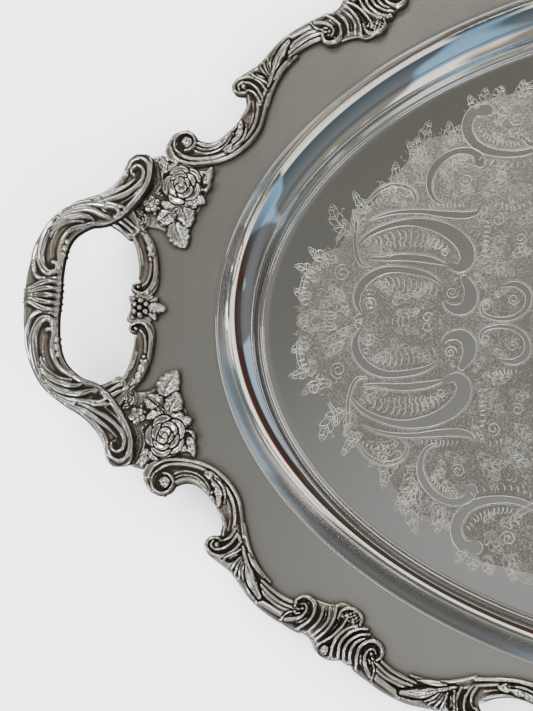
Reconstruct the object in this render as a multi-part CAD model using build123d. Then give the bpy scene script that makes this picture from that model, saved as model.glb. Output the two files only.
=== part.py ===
"""Oval two-handled serving tray: a stamped sheet body with a flat well, a deep cove and a scalloped rim,
a border of cast scrolls and shells soldered on the rim, four rose sprays and two arched handles.

Frame: millimetres, +Z up, origin on the underside of the well floor at the tray's centre,
+X along the long axis towards the right handle, +Y towards the back long side.
"""
from build123d import *
import math
import os

# Driving dimensions
SHEET = 1.6                     # thickness of the stamped body
WELL_DEPTH = 25.0               # rim's top above the well floor's top
LIP_A, LIP_B = 270.0, 180.0     # semi-axes of the oval lip where the rim turns down
COVE_WIDTH = 18.5               # plan width of the cove wall
COVE_STEPS = 5                  # oval sections along the quarter-round of the cove
RIM_TOP = SHEET + WELL_DEPTH
RIM_INSET = 1.5                 # the sheet's edge stands this far inside the castings
CASTING = 5.0                   # thickness of the border castings
CASTING_EDGE = 1.5              # chamfer along their top edges
SPRAY = 4.0                     # thickness of the rose sprays
SHELL = 6.0                     # thickness of the shells
RAIL = 6.0                      # thickness of the handle's inner rail
FLOWER = 7.0                    # thickness of the flower boss on the rail

# The bracket unit: two S-scrolls that meet at a shell. Its own frame has the shell at the origin,
# s along the border and t outwards. It stands at each corner and at the middle of each long side.
CORNER_AT = (-201.5, 156.0)
CORNER_TURN = 29.7              # degrees from +X to the unit's s axis
SIDE_AT = (0.0, 208.0)
SIDE_STRETCH = 1.1              # the unit at the middle of a long side is this much longer

SCROLL_OUTER = [(-73, -7.5), (-76.5, -3.5), (-77, 1), (-74.5, 4), (-67.5, 5), (-60, 5.5),
                (-53, 8), (-45, 11), (-36, 12.5), (-25, 12.5), (-14, 10.5)]
SCROLL_INNER = [(-20, -1), (-29, 0.5), (-38, 0.5), (-47, -2.5), (-55, -7.5), (-63.5, -14.5)]
SHELL_OUTLINE = [(-14, 10.5), (-9, 11), (-5, 13.7), (0, 15), (5, 13.7), (9, 11), (14, 10.5), (20, -1),
                 (19, -6), (13, -7.5), (8, -9.5), (5, -12.5), (0, -13.2), (-5, -12.5), (-8, -9.5),
                 (-13, -7.5), (-19, -6), (-20, -1)]

# The concave scroll between the rose spray and the corner unit, and the one between two units,
# both in the tray's frame for the left back quarter.
END_HOLLOW_OUTER = [(-304, 85), (-301.5, 90), (-298, 94), (-294, 95.8), (-290, 94), (-286, 90.6),
                    (-280.5, 89), (-275, 90.3), (-269, 95), (-264, 101), (-261.2, 107)]
END_HOLLOW_INNER = [(-251, 104), (-252.5, 97), (-256, 90), (-262, 84), (-269, 79.5), (-277, 76.8),
                    (-286, 75.8), (-295, 77), (-301.5, 80)]
SIDE_HOLLOW_OUTER = [(-131.5, 184.5), (-126, 182.5), (-119, 181.8), (-112, 183.2), (-105, 186.5),
                     (-97, 190), (-89, 194)]
SIDE_HOLLOW_INNER = [(-80, 189.5), (-90, 184), (-100, 178), (-110, 174), (-120, 172.6), (-130, 173)]

SPRAY_OUTLINE = [(-308, 79.5), (-304.5, 83), (-302.5, 79), (-295.5, 76), (-286, 74.8), (-277.5, 75.6),
                 (-275.5, 71), (-277.5, 65), (-280, 57), (-284, 48), (-286, 38), (-288.5, 31.5),
                 (-295, 34), (-301, 40), (-305.5, 44), (-309, 46), (-315, 50.5), (-314.5, 56), (-309.5, 62),
                 (-306, 69), (-306, 75)]
RAIL_OUTER = [(-323, 44), (-318, 38), (-315, 32), (-312.8, 25), (-312, 17), (-313, 12), (-316.5, 9.4)]
RAIL_INNER = [(-304, 8), (-302.5, 13), (-302.5, 20), (-304, 28), (-307.5, 36), (-311, 41), (-315.5, 47)]
FLOWER_OUTLINE = [(-318, 8), (-316.5, 0), (-318, -8), (-304, -7), (-302.5, -3), (-297, 0), (-302.5, 3),
                  (-304, 7)]

# The handle's arm and grip, one half: place in plan, height of the middle above the rim, width, thickness.
GRIP_STATIONS = [(-315, 81.5, 3.9, 8, 7.2), (-315.5, 75, 4.2, 14, 8), (-317, 67, 5, 14, 8.5),
                 (-322, 59, 7, 14, 9.5), (-330, 52, 11, 15, 10.5), (-339.5, 46.5, 16, 16, 11.5), (-347.5, 38, 21, 17, 12),
                 (-352, 27, 24.5, 18, 12.5), (-353.8, 13, 26.5, 19.5, 13), (-354, 0, 27, 20.5, 13.5)]


def to_tray(points, at, turn, stretch=1.0):
    """Points of a unit's own frame, in the tray's frame."""
    c, s = math.cos(math.radians(turn)), math.sin(math.radians(turn))
    return [(at[0] + stretch * p * c - q * s, at[1] + stretch * p * s + q * c) for p, q in points]


def in_corner(points):
    return to_tray(points, CORNER_AT, CORNER_TURN)


def in_side(points):
    return to_tray(points, SIDE_AT, 0, SIDE_STRETCH)


def flipped(points):
    """A unit's points mirrored across its shell's axis."""
    return [(-p, q) for p, q in points]


def smooth_face(outer, inner):
    """A face between two smooth runs, which straight lines join at their ends."""
    edges = [Spline(*outer), Line(outer[-1], inner[0]), Spline(*inner), Line(inner[-1], outer[0])]
    return make_face(edges)


def plate(face, height):
    """A casting: the face raised from the rim's top, with its top edges chamfered."""
    solid = extrude(Plane.XY.offset(RIM_TOP) * face, height)
    return chamfer(solid.faces().sort_by(Axis.Z)[-1].edges(), CASTING_EDGE)


def polygon_plate(points, height):
    return plate(make_face(Polyline(*points, close=True)), height)


def inset(points, gap):
    """Points moved towards the tray's centre by gap."""
    moved = []
    for x, y in points:
        share = 1 - gap / math.hypot(x, y)
        moved.append((x * share, y * share))
    return moved


def cove_profile():
    """How far in from the lip the top surface is, and its height, from the lip to the floor."""
    steps = [i / COVE_STEPS * math.pi / 2 for i in range(COVE_STEPS + 1)]
    return [(COVE_WIDTH * (1 - math.cos(a)), RIM_TOP - WELL_DEPTH * math.sin(a)) for a in steps]


def oval(offset_in, z):
    return Plane.XY.offset(z) * Ellipse(LIP_A - offset_in, LIP_B - offset_in)


def rim_outline():
    """The sheet's scalloped edge, a little inside the castings' outer edges, for the left back quarter."""
    run = [(-316, 0), (-312, 15), (-312, 25), (-314, 36), (-318, 48), (-316, 60), (-312, 70), (-309, 76)]
    run += END_HOLLOW_OUTER
    run += in_corner(SCROLL_OUTER + SHELL_OUTLINE[1:6] + flipped(SCROLL_OUTER)[::-1])
    run += SIDE_HOLLOW_OUTER[1:-1]
    run += in_side(SCROLL_OUTER + SHELL_OUTLINE[1:4])
    return inset(run, RIM_INSET)


def tray_body():
    """Floor, cove and rim in one sheet."""
    back_left = rim_outline()
    back = back_left + [(-x, y) for x, y in back_left[-2::-1]]
    front = [(x, -y) for x, y in back[-2:0:-1]]
    rim = extrude(Plane.XY.offset(WELL_DEPTH) * make_face(Polyline(*back, *front, close=True)), SHEET)
    profile = cove_profile()
    bowl = loft([oval(d - SHEET, z - SHEET) for d, z in profile])
    hollow = loft([oval(0, RIM_TOP + 2 * SHEET)] + [oval(0, RIM_TOP)], ruled=True)
    hollow += loft([oval(d, z) for d, z in profile])
    return rim + bowl - hollow


def hand_section(station, ahead):
    """One oval section of a handle, square to the way to the next station."""
    x, y, lift, width, thick = station
    way = Vector(ahead[0] - x, ahead[1] - y, ahead[2] - lift)
    across = Vector(0, 0, 1).cross(way).normalized()
    plane = Plane(origin=(x, y, RIM_TOP + lift), x_dir=across, z_dir=way)
    return plane * Ellipse(width / 2, thick / 2)


def handle_grip():
    """The left handle's arched loop, from one arm's volute over the grip to the other."""
    half = GRIP_STATIONS
    whole = half + [(x, -y, *rest) for x, y, *rest in half[-2::-1]]
    sections = []
    for i, station in enumerate(whole):
        before = whole[max(i - 1, 0)]
        after = whole[min(i + 1, len(whole) - 1)]
        ahead = [station[k] + after[k] - before[k] for k in range(3)]
        sections.append(hand_section(station, ahead))
    return loft(sections)


def left_back_castings():
    """The castings of one quarter of the border, by name."""
    scroll_end = flipped(SCROLL_OUTER)[::-1]
    inner_end = flipped(SCROLL_INNER)[::-1]
    corner_outer = in_corner(SCROLL_OUTER)
    side_end = in_corner(flipped(SCROLL_OUTER)[:1] + flipped(SCROLL_INNER)[-1:])
    end_inner = in_corner(SCROLL_INNER)
    middle_start = in_side(SCROLL_OUTER[:1] + SCROLL_INNER[-1:])
    return {
        "rose_spray": polygon_plate(SPRAY_OUTLINE, SPRAY),
        "end_hollow_scroll": plate(
            smooth_face(END_HOLLOW_OUTER + corner_outer[:1], end_inner[-1:] + END_HOLLOW_INNER), CASTING),
        "corner_scroll_end": plate(smooth_face(corner_outer, end_inner), CASTING),
        "corner_shell": polygon_plate(in_corner(SHELL_OUTLINE), SHELL),
        "corner_scroll_side": plate(smooth_face(in_corner(scroll_end), in_corner(inner_end)), CASTING),
        "side_hollow_scroll": plate(
            smooth_face(side_end[:1] + SIDE_HOLLOW_OUTER[1:-1] + middle_start[:1],
                        middle_start[1:] + SIDE_HOLLOW_INNER[:-1] + side_end[1:]), CASTING),
        "middle_scroll": plate(smooth_face(in_side(SCROLL_OUTER), in_side(SCROLL_INNER)), CASTING),
    }


def mirrored(shape, across_y, across_x):
    """The shape, mirrored to the front or to the right of the tray."""
    if across_y:
        shape = mirror(shape, about=Plane.XZ)
    if across_x:
        shape = mirror(shape, about=Plane.YZ)
    return shape


def make_parts():
    parts = {"tray_body": tray_body()}
    for name, casting in left_back_castings().items():
        for end, across_x in (("left", False), ("right", True)):
            for side, across_y in (("back", False), ("front", True)):
                parts[f"{name}_{side}_{end}"] = mirrored(casting, across_y, across_x)
    shell = polygon_plate(in_side(SHELL_OUTLINE), SHELL)
    parts["middle_shell_back"] = shell
    parts["middle_shell_front"] = mirrored(shell, True, False)
    rail = plate(smooth_face(RAIL_OUTER, RAIL_INNER), RAIL)
    flower = polygon_plate(FLOWER_OUTLINE, FLOWER)
    grip = handle_grip()
    for end, across_x in (("left", False), ("right", True)):
        parts[f"handle_grip_{end}"] = mirrored(grip, False, across_x)
        parts[f"handle_flower_{end}"] = mirrored(flower, False, across_x)
        for side, across_y in (("back", False), ("front", True)):
            parts[f"handle_rail_{side}_{end}"] = mirrored(rail, across_y, across_x)
    return parts


os.makedirs("parts", exist_ok=True)
for node, shape in make_parts().items():
    export_step(shape, f"parts/{node}.step")
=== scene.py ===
"""Looks of the two-handled serving tray: chased castings, a mirror cove and an engraved well."""
import math

import bpy
import numpy as np
from mathutils import Matrix, Vector


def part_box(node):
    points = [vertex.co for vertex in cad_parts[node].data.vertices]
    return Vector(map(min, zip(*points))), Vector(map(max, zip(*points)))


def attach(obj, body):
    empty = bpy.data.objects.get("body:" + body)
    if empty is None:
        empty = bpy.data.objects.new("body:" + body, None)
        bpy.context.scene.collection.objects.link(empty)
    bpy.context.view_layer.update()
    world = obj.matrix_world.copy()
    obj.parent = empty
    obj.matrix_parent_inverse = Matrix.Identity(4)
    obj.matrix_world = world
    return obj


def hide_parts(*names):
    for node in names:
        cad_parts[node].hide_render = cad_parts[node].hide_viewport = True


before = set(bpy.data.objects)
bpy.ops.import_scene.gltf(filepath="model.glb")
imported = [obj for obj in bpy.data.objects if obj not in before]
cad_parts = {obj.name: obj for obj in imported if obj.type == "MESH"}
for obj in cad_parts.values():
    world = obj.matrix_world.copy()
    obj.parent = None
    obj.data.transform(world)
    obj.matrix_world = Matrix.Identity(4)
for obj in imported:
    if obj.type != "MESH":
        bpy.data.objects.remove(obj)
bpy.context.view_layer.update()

# Everything below is in millimetres until a mesh is made.
MM = 0.001
RIM_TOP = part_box("corner_shell_back_left")[0][2] / MM     # top of the sheet's rim
GRIP_LOW, GRIP_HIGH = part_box("handle_grip_left")
GRIP_OUT, GRIP_TOP = GRIP_LOW[0] / MM + 0.05, GRIP_HIGH[2] / MM - 0.05
SHEET = 1.6                                               # thickness of the sheet
RIM_UNDER = RIM_TOP - SHEET
STEP = 0.32                                               # spacing of the castings' relief grid
FOOT = RIM_UNDER + 0.4                                    # how far down a casting's outer edge reaches
FLOOR_TOP = SHEET


# ---------------------------------------------------------------- curves in plan

def smooth_path(points, spacing=0.7):
    """A Catmull-Rom curve through points of any number of coordinates."""
    p = np.array(points, float)
    p = np.vstack([2 * p[0] - p[1], p, 2 * p[-1] - p[-2]])
    out = []
    for a, b, c, d in zip(p[:-3], p[1:-2], p[2:-1], p[3:]):
        n = max(2, int(np.linalg.norm((c - b)[:2]) / spacing) + 1)
        t = np.linspace(0, 1, n, endpoint=False)[:, None]
        cubic = (2 * a - 5 * b + 4 * c - d) * t * t + (3 * b - a - 3 * c + d) * t ** 3
        out.append(0.5 * (2 * b + (c - a) * t + cubic))
    out.append(p[-2][None])
    return np.vstack(out)


def spiral(centre, r_out, r_in, start, turns):
    """Points that wind from r_out to r_in about centre; turns are positive anticlockwise."""
    n = max(4, int(abs(turns) * 12))
    t = np.linspace(0, 1, n + 1)
    angle = np.radians(start + 360 * turns * t)
    r = r_out + (r_in - r_out) * t
    return [(centre[0] + q * math.cos(a), centre[1] + q * math.sin(a)) for q, a in zip(r, angle)]


def within(x, y, closed):
    """Which places lie inside a closed line, whose last point is its first."""
    odd = np.zeros(x.shape, bool)
    for (ax, ay), (bx, by) in zip(closed[:-1], closed[1:]):
        if ay != by:
            odd ^= ((ay > y) != (by > y)) & (x < ax + (y - ay) * (bx - ax) / (by - ay))
    return odd


def blur(field, sigma):
    """A Gaussian blur; sigma in grid cells."""
    k = np.exp(-0.5 * (np.arange(-int(3 * sigma) - 1, int(3 * sigma) + 2) / sigma) ** 2)
    k /= k.sum()
    pad = len(k) // 2
    f = np.pad(field, pad, mode="edge")
    f = np.apply_along_axis(lambda row: np.convolve(row, k, "valid"), 1, f)
    return np.apply_along_axis(lambda col: np.convolve(col, k, "valid"), 0, f)


# ---------------------------------------------------------------- relief

PROFILES = {
    "round": lambda u: np.sqrt(np.clip(1 - u * u, 0, 1)),
    "soft": lambda u: np.clip(1 - u * u, 0, 1),
}


class Relief:
    """Heights above the rim on a grid in plan, and how far each grid point is inside the silhouette."""

    def __init__(self, x0, x1, y0, y1, step=STEP):
        self.x = np.arange(x0, x1 + step, step)
        self.y = np.arange(y0, y1 + step, step)
        self.step = step
        self.high = np.zeros((len(self.y), len(self.x)))
        self.inside = np.full(self.high.shape, -20.0)

    def window(self, low, top):
        """The rows and columns of the grid between two corners."""
        i0, i1 = np.searchsorted(self.x, [low[0], top[0]])
        j0, j1 = np.searchsorted(self.y, [low[1], top[1]])
        return slice(j0, j1), slice(i0, i1)

    def measure(self, path, reach):
        """Side distance and share along the path for the grid points within reach of it."""
        rows, cols = self.window(path.min(0) - reach, path.max(0) + reach)
        gx, gy = np.meshgrid(self.x[cols], self.y[rows])
        side = np.full(gx.shape, 99.0)
        share = np.zeros(gx.shape)
        lengths = np.hypot(*(path[1:] - path[:-1]).T)
        run = np.concatenate([[0], np.cumsum(lengths)])
        if gx.size == 0:
            return rows, cols, side, share
        corner = gx[0, 0], gy[0, 0]
        for k, (a, b) in enumerate(zip(path[:-1], path[1:])):
            i0, j0 = np.maximum(((np.minimum(a, b) - reach - corner) / self.step).astype(int), 0)
            i1, j1 = np.maximum(((np.maximum(a, b) + reach - corner) / self.step).astype(int) + 2, 0)
            px, py = gx[j0:j1, i0:i1] - a[0], gy[j0:j1, i0:i1] - a[1]
            if px.size == 0:
                continue
            d = (b - a) / lengths[k]
            s = np.clip(px * d[0] + py * d[1], 0, lengths[k])
            away = np.hypot(px - s * d[0], py - s * d[1])
            sign = np.sign(d[0] * py - d[1] * px)
            old = side[j0:j1, i0:i1]
            closer = away < np.abs(old)
            side[j0:j1, i0:i1] = np.where(closer, away * np.where(sign == 0, 1, sign), old)
            share[j0:j1, i0:i1] = np.where(closer, (run[k] + s) / run[-1], share[j0:j1, i0:i1])
        return rows, cols, side, share

    def add(self, rows, cols, high, inside, carve_to=None, carve=0.0):
        """Lays a shape over the relief, after carving a groove of width carve round it."""
        if carve:
            ring = np.clip((inside + carve) / carve, 0, 1)
            here = self.high[rows, cols]
            self.high[rows, cols] = here + (np.minimum(here, carve_to) - here) * ring
        covered = inside > 0
        self.high[rows, cols] = np.where(covered, np.maximum(self.high[rows, cols], high),
                self.high[rows, cols])
        self.inside[rows, cols] = np.maximum(self.inside[rows, cols], inside)

    def stroke(self, points, width, high, profile="round", foot=1.0, carve=0.0, cut=None):
        """A ridge along a curve: its half-width and height are given at even steps along it."""
        path = smooth_path(points)
        width, high = np.atleast_1d(width).astype(float), np.atleast_1d(high).astype(float)
        rows, cols, side, share = self.measure(path, width.max() + carve + 0.5)
        w = np.interp(share, np.linspace(0, 1, len(width)), width)
        h = np.interp(share, np.linspace(0, 1, len(high)), high)
        u = np.clip(np.abs(side) / np.maximum(w, 0.05), 0, 1)
        top = foot + (h - foot) * PROFILES[profile](u)
        self.add(rows, cols, top, w - np.abs(side), foot * 0.6 if cut is None else cut, carve)

    def leaf(self, points, width, high, lobes=5, foot=1.0, carve=0.5, tilt=1.6, cut=None):
        """A leaf with a midrib, side veins and a lobed edge, from its base to its tip."""
        path = smooth_path(points)
        rows, cols, side, share = self.measure(path, width * 1.25 + carve + 0.5)
        shape = np.clip(np.sin(np.pi * np.clip(share, 0.0, 1) ** 0.75), 0, 1) ** 0.6
        lobe = np.abs(np.sin(np.pi * lobes * share))
        w = np.maximum(width * shape * (0.86 + 0.2 * lobe), 0.15)
        u = np.clip(np.abs(side) / w, 0, 1)
        length = np.hypot(*np.diff(path, axis=0).T).sum()
        vein = np.cos(2 * np.pi * (lobes * share - tilt * np.abs(side) / max(length, 1) * lobes))
        top = 0.48 + 0.52 * np.clip(1 - u * u, 0, 1) ** 0.8
        top = top - 0.28 * np.exp(-(side / 0.4) ** 2) + 0.14 * vein * np.clip(u * 3, 0, 1)
        fall = np.clip((share - 0.55) / 0.45, 0, 1)
        top = top * (1 - 0.35 * fall)
        self.add(rows, cols, foot + (high - foot) * top, w - np.abs(side),
                 foot * 0.6 if cut is None else cut, carve)

    def dome(self, centre, radius, high, foot=1.0, carve=0.4, ratio=1.0, turn=0.0, power=0.5, cut=None):
        """A round or oval berry."""
        reach = radius * max(ratio, 1) + carve + 0.5
        rows, cols = self.window(np.array(centre) - reach, np.array(centre) + reach)
        gx, gy = np.meshgrid(self.x[cols] - centre[0], self.y[rows] - centre[1])
        c, s = math.cos(math.radians(turn)), math.sin(math.radians(turn))
        q = np.hypot((gx * c + gy * s) / (radius * ratio), (gy * c - gx * s) / radius)
        top = foot + (high - foot) * np.clip(1 - q * q, 0, 1) ** power
        self.add(rows, cols, top, (1 - q) * radius, foot * 0.6 if cut is None else cut, carve)

    def petal(self, centre, radius, high, out, ratio=1.0, foot=1.0):
        """A cupped petal whose outer edge, towards the angle out, curls up."""
        reach = radius * max(ratio, 1) + 1
        rows, cols = self.window(np.array(centre) - reach, np.array(centre) + reach)
        gx, gy = np.meshgrid(self.x[cols] - centre[0], self.y[rows] - centre[1])
        c, s = math.cos(math.radians(out)), math.sin(math.radians(out))
        ahead, across = gx * c + gy * s, gy * c - gx * s
        q = np.hypot(ahead / radius, across / (radius * ratio))
        edge = np.clip(1 - q ** 10, 0, 1) ** 0.5
        top = high * (0.70 + 0.30 * q ** 3 + 0.10 * ahead / radius) * edge
        self.add(rows, cols, np.maximum(top, foot * 0.6), (1 - q) * radius, foot * 0.7, 0.45)

    def rose(self, centre, radius, high, turn=0):
        """Three rings of cupped petals about a bud."""
        for ring, size, up, count in ((0.58, 0.50, 0.72, 5), (0.36, 0.40, 0.86, 4), (0.17, 0.28, 0.97, 3)):
            for k in range(count):
                a = turn + 360 / count * k + 40 * ring
                at = (centre[0] + radius * ring * math.cos(math.radians(a)),
                      centre[1] + radius * ring * math.sin(math.radians(a)))
                self.petal(at, radius * size, high * up, a, 1.15)
        self.dome(centre, radius * 0.17, high, foot=high * 0.6, carve=0.3, cut=high * 0.5)

    def flower(self, centre, radius, high, petals=5, turn=0):
        for k in range(petals):
            a = math.radians(turn + 360 / petals * k)
            at = (centre[0] + radius * 0.58 * math.cos(a), centre[1] + radius * 0.58 * math.sin(a))
            self.petal(at, radius * 0.42, high * 0.85, math.degrees(a), 1.0)
        self.dome(centre, radius * 0.26, high, foot=high * 0.5, carve=0.3, cut=high * 0.4)

    def plate(self, outline, high, stipple=0.0):
        """The flat ground of a casting inside a closed smooth outline."""
        path = smooth_path(list(outline) + [outline[0]])
        rows, cols, side, _ = self.measure(path, 60.0)
        gx, gy = np.meshgrid(self.x[cols], self.y[rows])
        depth = np.where(within(gx, gy, path), np.abs(side), -np.abs(side))
        top = np.full(gx.shape, float(high))
        if stipple:
            waves = np.sin(gx * 4.1 + 1.3 * np.sin(gy * 2.3)), np.sin(gy * 4.3 + 1.1 * np.sin(gx * 2.9))
            top += stipple * waves[0] * waves[1]
        self.add(rows, cols, top, depth)

    def finish(self, soften=0.55):
        """Softens the relief as a casting is, rounds its silhouette, measures its recesses for oxide and
        paints shade on the band along its silhouette.
        """
        rng = np.random.default_rng(7)
        grain = blur(rng.standard_normal(self.high.shape), 2.2)
        self.high = blur(self.high, soften) + 0.10 * grain
        self.oxide_and_shade = np.clip((blur(self.high, 1.3 / self.step) - self.high) * 0.85
                              + (blur(self.high, 3.2 / self.step) - self.high) * 0.25 + 0.05, 0, 1)
        # painted shade: the band within 0.9 mm of the silhouette, where the edge rounds down, is darkened
        self.oxide_and_shade = np.clip(self.oxide_and_shade + np.clip(0.9 - self.inside, 0, 0.9) * 0.55, 0, 1)
        r = 0.8
        m = np.clip(r - self.inside, 0, r)
        self.shown = self.high - (r - np.sqrt(r * r - m * m))


def side_of(relief, a, b):
    """How far the grid points are to the left of the line from a to b."""
    d = np.array(b, float) - a
    d /= np.hypot(*d)
    gx, gy = np.meshgrid(relief.x - a[0], relief.y - a[1])
    return d[0] * gy - d[1] * gx


def contoured(relief, domain=99.0, foot=None):
    """A closed mesh of the relief where it is inside its silhouette and domain: points, faces, and the oxide
    tone with painted shade on the edges and side walls.
    """
    foot = foot or border_foot
    m = np.minimum(relief.inside, domain)
    m[0, :] = m[-1, :] = m[:, 0] = m[:, -1] = -1
    inside = m > 0
    ids = np.full(m.shape, -1)
    ids[inside] = np.arange(inside.sum())
    jj, ii = np.nonzero(inside)
    verts = [np.column_stack([relief.x[ii], relief.y[jj], RIM_TOP + relief.shown[jj, ii]])]
    dark = [relief.oxide_and_shade[jj, ii]]
    corners = (slice(None, -1), slice(None, -1)), (slice(None, -1), slice(1, None)), \
              (slice(1, None), slice(1, None)), (slice(1, None), slice(None, -1))
    count = sum(inside[c].astype(int) for c in corners)
    full = count == 4
    faces = np.column_stack([ids[c][full] for c in corners]).tolist()
    crossing, extra, extra_dark, walls = {}, [], [], {}
    base = int(inside.sum())

    def cross(p, q):
        key = (p, q) if p < q else (q, p)
        if key not in crossing:
            (j0, i0), (j1, i1) = key
            t = np.clip(m[j0, i0] / (m[j0, i0] - m[j1, i1]), 0.04, 0.96)
            mix = lambda field: field[j0, i0] * (1 - t) + field[j1, i1] * t
            inner = key[0] if inside[key[0]] else key[1]
            high = relief.shown[inner]
            extra.append((relief.x[i0] * (1 - t) + relief.x[i1] * t,
                    relief.y[j0] * (1 - t) + relief.y[j1] * t,
                          RIM_TOP + min(high, mix(relief.shown) if relief.inside[key[0]] > 0
                                        and relief.inside[key[1]] > 0 else high)))
            depth = relief.oxide_and_shade[inner]
            # painted shade: points on the silhouette close to the edge are made at least 0.75 dark
            extra_dark.append(max(0.75, depth) if relief.inside[inner] < 1 else depth)
            crossing[key] = base + len(extra) - 1
        return crossing[key]

    for j, i in zip(*np.nonzero((count > 0) & (count < 4))):
        ring = [(j, i), (j, i + 1), (j + 1, i + 1), (j + 1, i)]
        poly, cuts = [], []
        for p, q in zip(ring, ring[1:] + ring[:1]):
            if inside[p]:
                poly.append(int(ids[p]))
            if inside[p] != inside[q]:
                poly.append(cross(p, q))
                cuts.append((poly[-1], bool(inside[p])))
        if len(poly) >= 3:
            faces.append(poly)
        for (u, leaving), (v, _) in zip(cuts, cuts[1:] + cuts[:1]):
            if leaving:
                walls[u] = v
    top = np.vstack(verts + ([np.array(extra)] if extra else []))
    dark = np.concatenate(dark + ([np.array(extra_dark)] if extra else []))
    lower = {}
    low_points = []
    for u in walls:
        lower[u] = len(top) + len(low_points)
        low_points.append((top[u][0], top[u][1], foot(top[u][0], top[u][1])))
    for u, v in walls.items():
        faces.append([v, u, lower[u], lower[v]])
    left = set(walls)
    while left:
        start = left.pop()
        loop = [lower[start]]
        at = walls[start]
        while at != start:
            left.discard(at)
            loop.append(lower[at])
            at = walls[at]
        faces.append(loop)
    points = np.vstack([top, np.array(low_points)])
    # painted shade: the lower points of the side walls are made dark
    dark = np.concatenate([dark, np.full(len(low_points), 0.62)])
    return points, faces, dark


# ---------------------------------------------------------------- meshes

def make_object(name, points, faces, attributes=None, sharp=None):
    mesh = bpy.data.meshes.new(name)
    mesh.from_pydata((np.asarray(points) * MM).tolist(), [], faces)
    for key, values in (attributes or {}).items():
        mesh.attributes.new(key, "FLOAT", "POINT").data.foreach_set("value", np.asarray(values, np.float32))
    mesh.validate()
    mesh.shade_smooth()
    if sharp is not None:
        mesh.set_sharp_from_angle(angle=math.radians(sharp))
    obj = bpy.data.objects.new(name, mesh)
    bpy.context.collection.objects.link(obj)
    return obj


def mirrored(points, faces, sx, sy):
    out = np.asarray(points) * (sx, sy, 1)
    return out, [f[::-1] for f in faces] if sx * sy < 0 else faces


def dress(obj, material, node=None):
    """Gives a piece its material, its body and slot, and hides the CAD node that it stands for."""
    obj.data.materials.append(material)
    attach(obj, "root")
    if node:
        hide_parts(node)


def place(name, data, sx=1, sy=1, sharp=50):
    """A casting that stands for the CAD node of the same name."""
    points, faces, dark = data
    points, faces = mirrored(points, faces, sx, sy)
    dress(make_object(name + "_cast", points, faces, {"oxide_and_shade": dark}, sharp), CAST, name)


QUARTERS = [("back_left", 1, 1), ("back_right", -1, 1), ("front_left", 1, -1), ("front_right", -1, -1)]


def place_quarters(stem, data):
    for quarter, sx, sy in QUARTERS:
        place(f"{stem}_{quarter}", data, sx, sy)


# ---------------------------------------------------------------- materials

def new_material(name):
    mat = bpy.data.materials.new(name)
    mat.use_nodes = True
    return mat, mat.node_tree.nodes, mat.node_tree.links


def add_noise(nodes, links, scale, stretch=(1, 1, 1), turn=0.0, detail=3.0):
    place_at = nodes.new("ShaderNodeTexCoord")
    mapping = nodes.new("ShaderNodeMapping")
    mapping.inputs["Scale"].default_value = stretch
    mapping.inputs["Rotation"].default_value = (0, 0, math.radians(turn))
    noise = nodes.new("ShaderNodeTexNoise")
    noise.inputs["Scale"].default_value = scale
    noise.inputs["Detail"].default_value = detail
    links.new(place_at.outputs["Object"], mapping.inputs["Vector"])
    links.new(mapping.outputs["Vector"], noise.inputs["Vector"])
    return noise.outputs["Fac"]


def ramp(nodes, links, source, stops):
    node = nodes.new("ShaderNodeValToRGB")
    elements = node.color_ramp.elements
    while len(elements) < len(stops):
        elements.new(0.5)
    for element, (at, colour) in zip(elements, stops):
        element.position = at
        element.color = (*colour, 1) if isinstance(colour, tuple) else (colour, colour, colour, 1)
    links.new(source, node.inputs["Fac"])
    return node.outputs["Color"]


def math_node(nodes, links, operation, a, b):
    node = nodes.new("ShaderNodeMath")
    node.operation = operation
    for socket, value in zip(node.inputs, (a, b)):
        if isinstance(value, (int, float)):
            socket.default_value = value
        else:
            links.new(value, socket)
    return node.outputs["Value"]


def attribute(nodes, name):
    node = nodes.new("ShaderNodeAttribute")
    node.attribute_name = name
    return node.outputs["Fac"]


def cast_silver():
    """Cast silver: polished on the high points, brown-black oxide in the recesses, and painted shade on the
    edges, side walls and the grip's underside, which share the oxide's attribute.
    """
    mat, nodes, links = new_material("cast_silver")
    shader = nodes["Principled BSDF"]
    cloud = add_noise(nodes, links, 160, detail=4)
    depth = attribute(nodes, "oxide_and_shade")
    mixed = math_node(nodes, links, "MULTIPLY_ADD", cloud, 0.30)
    mixed.node.inputs[2].default_value = -0.15
    # the oxide in hollows and the painted shade, with a random mottle; the ramp below darkens both
    worn = math_node(nodes, links, "ADD", depth, mixed)
    colour = ramp(nodes, links, worn, [(0.08, (0.95, 0.93, 0.88)), (0.24, (0.51, 0.48, 0.41)),
                                       (0.43, (0.14, 0.118, 0.09)), (0.72, (0.024, 0.018, 0.013))])
    links.new(colour, shader.inputs["Base Color"])
    rough = ramp(nodes, links, worn, [(0.05, 0.09), (0.3, 0.26), (0.6, 0.5)])
    links.new(rough, shader.inputs["Roughness"])
    metal = ramp(nodes, links, worn, [(0.25, 1.0), (0.6, 0.75)])
    links.new(metal, shader.inputs["Metallic"])
    bump = nodes.new("ShaderNodeBump")
    bump.inputs["Strength"].default_value = 0.18
    bump.inputs["Distance"].default_value = 0.0002
    links.new(add_noise(nodes, links, 700, detail=2), bump.inputs["Height"])
    links.new(bump.outputs["Normal"], shader.inputs["Normal"])
    return mat


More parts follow.
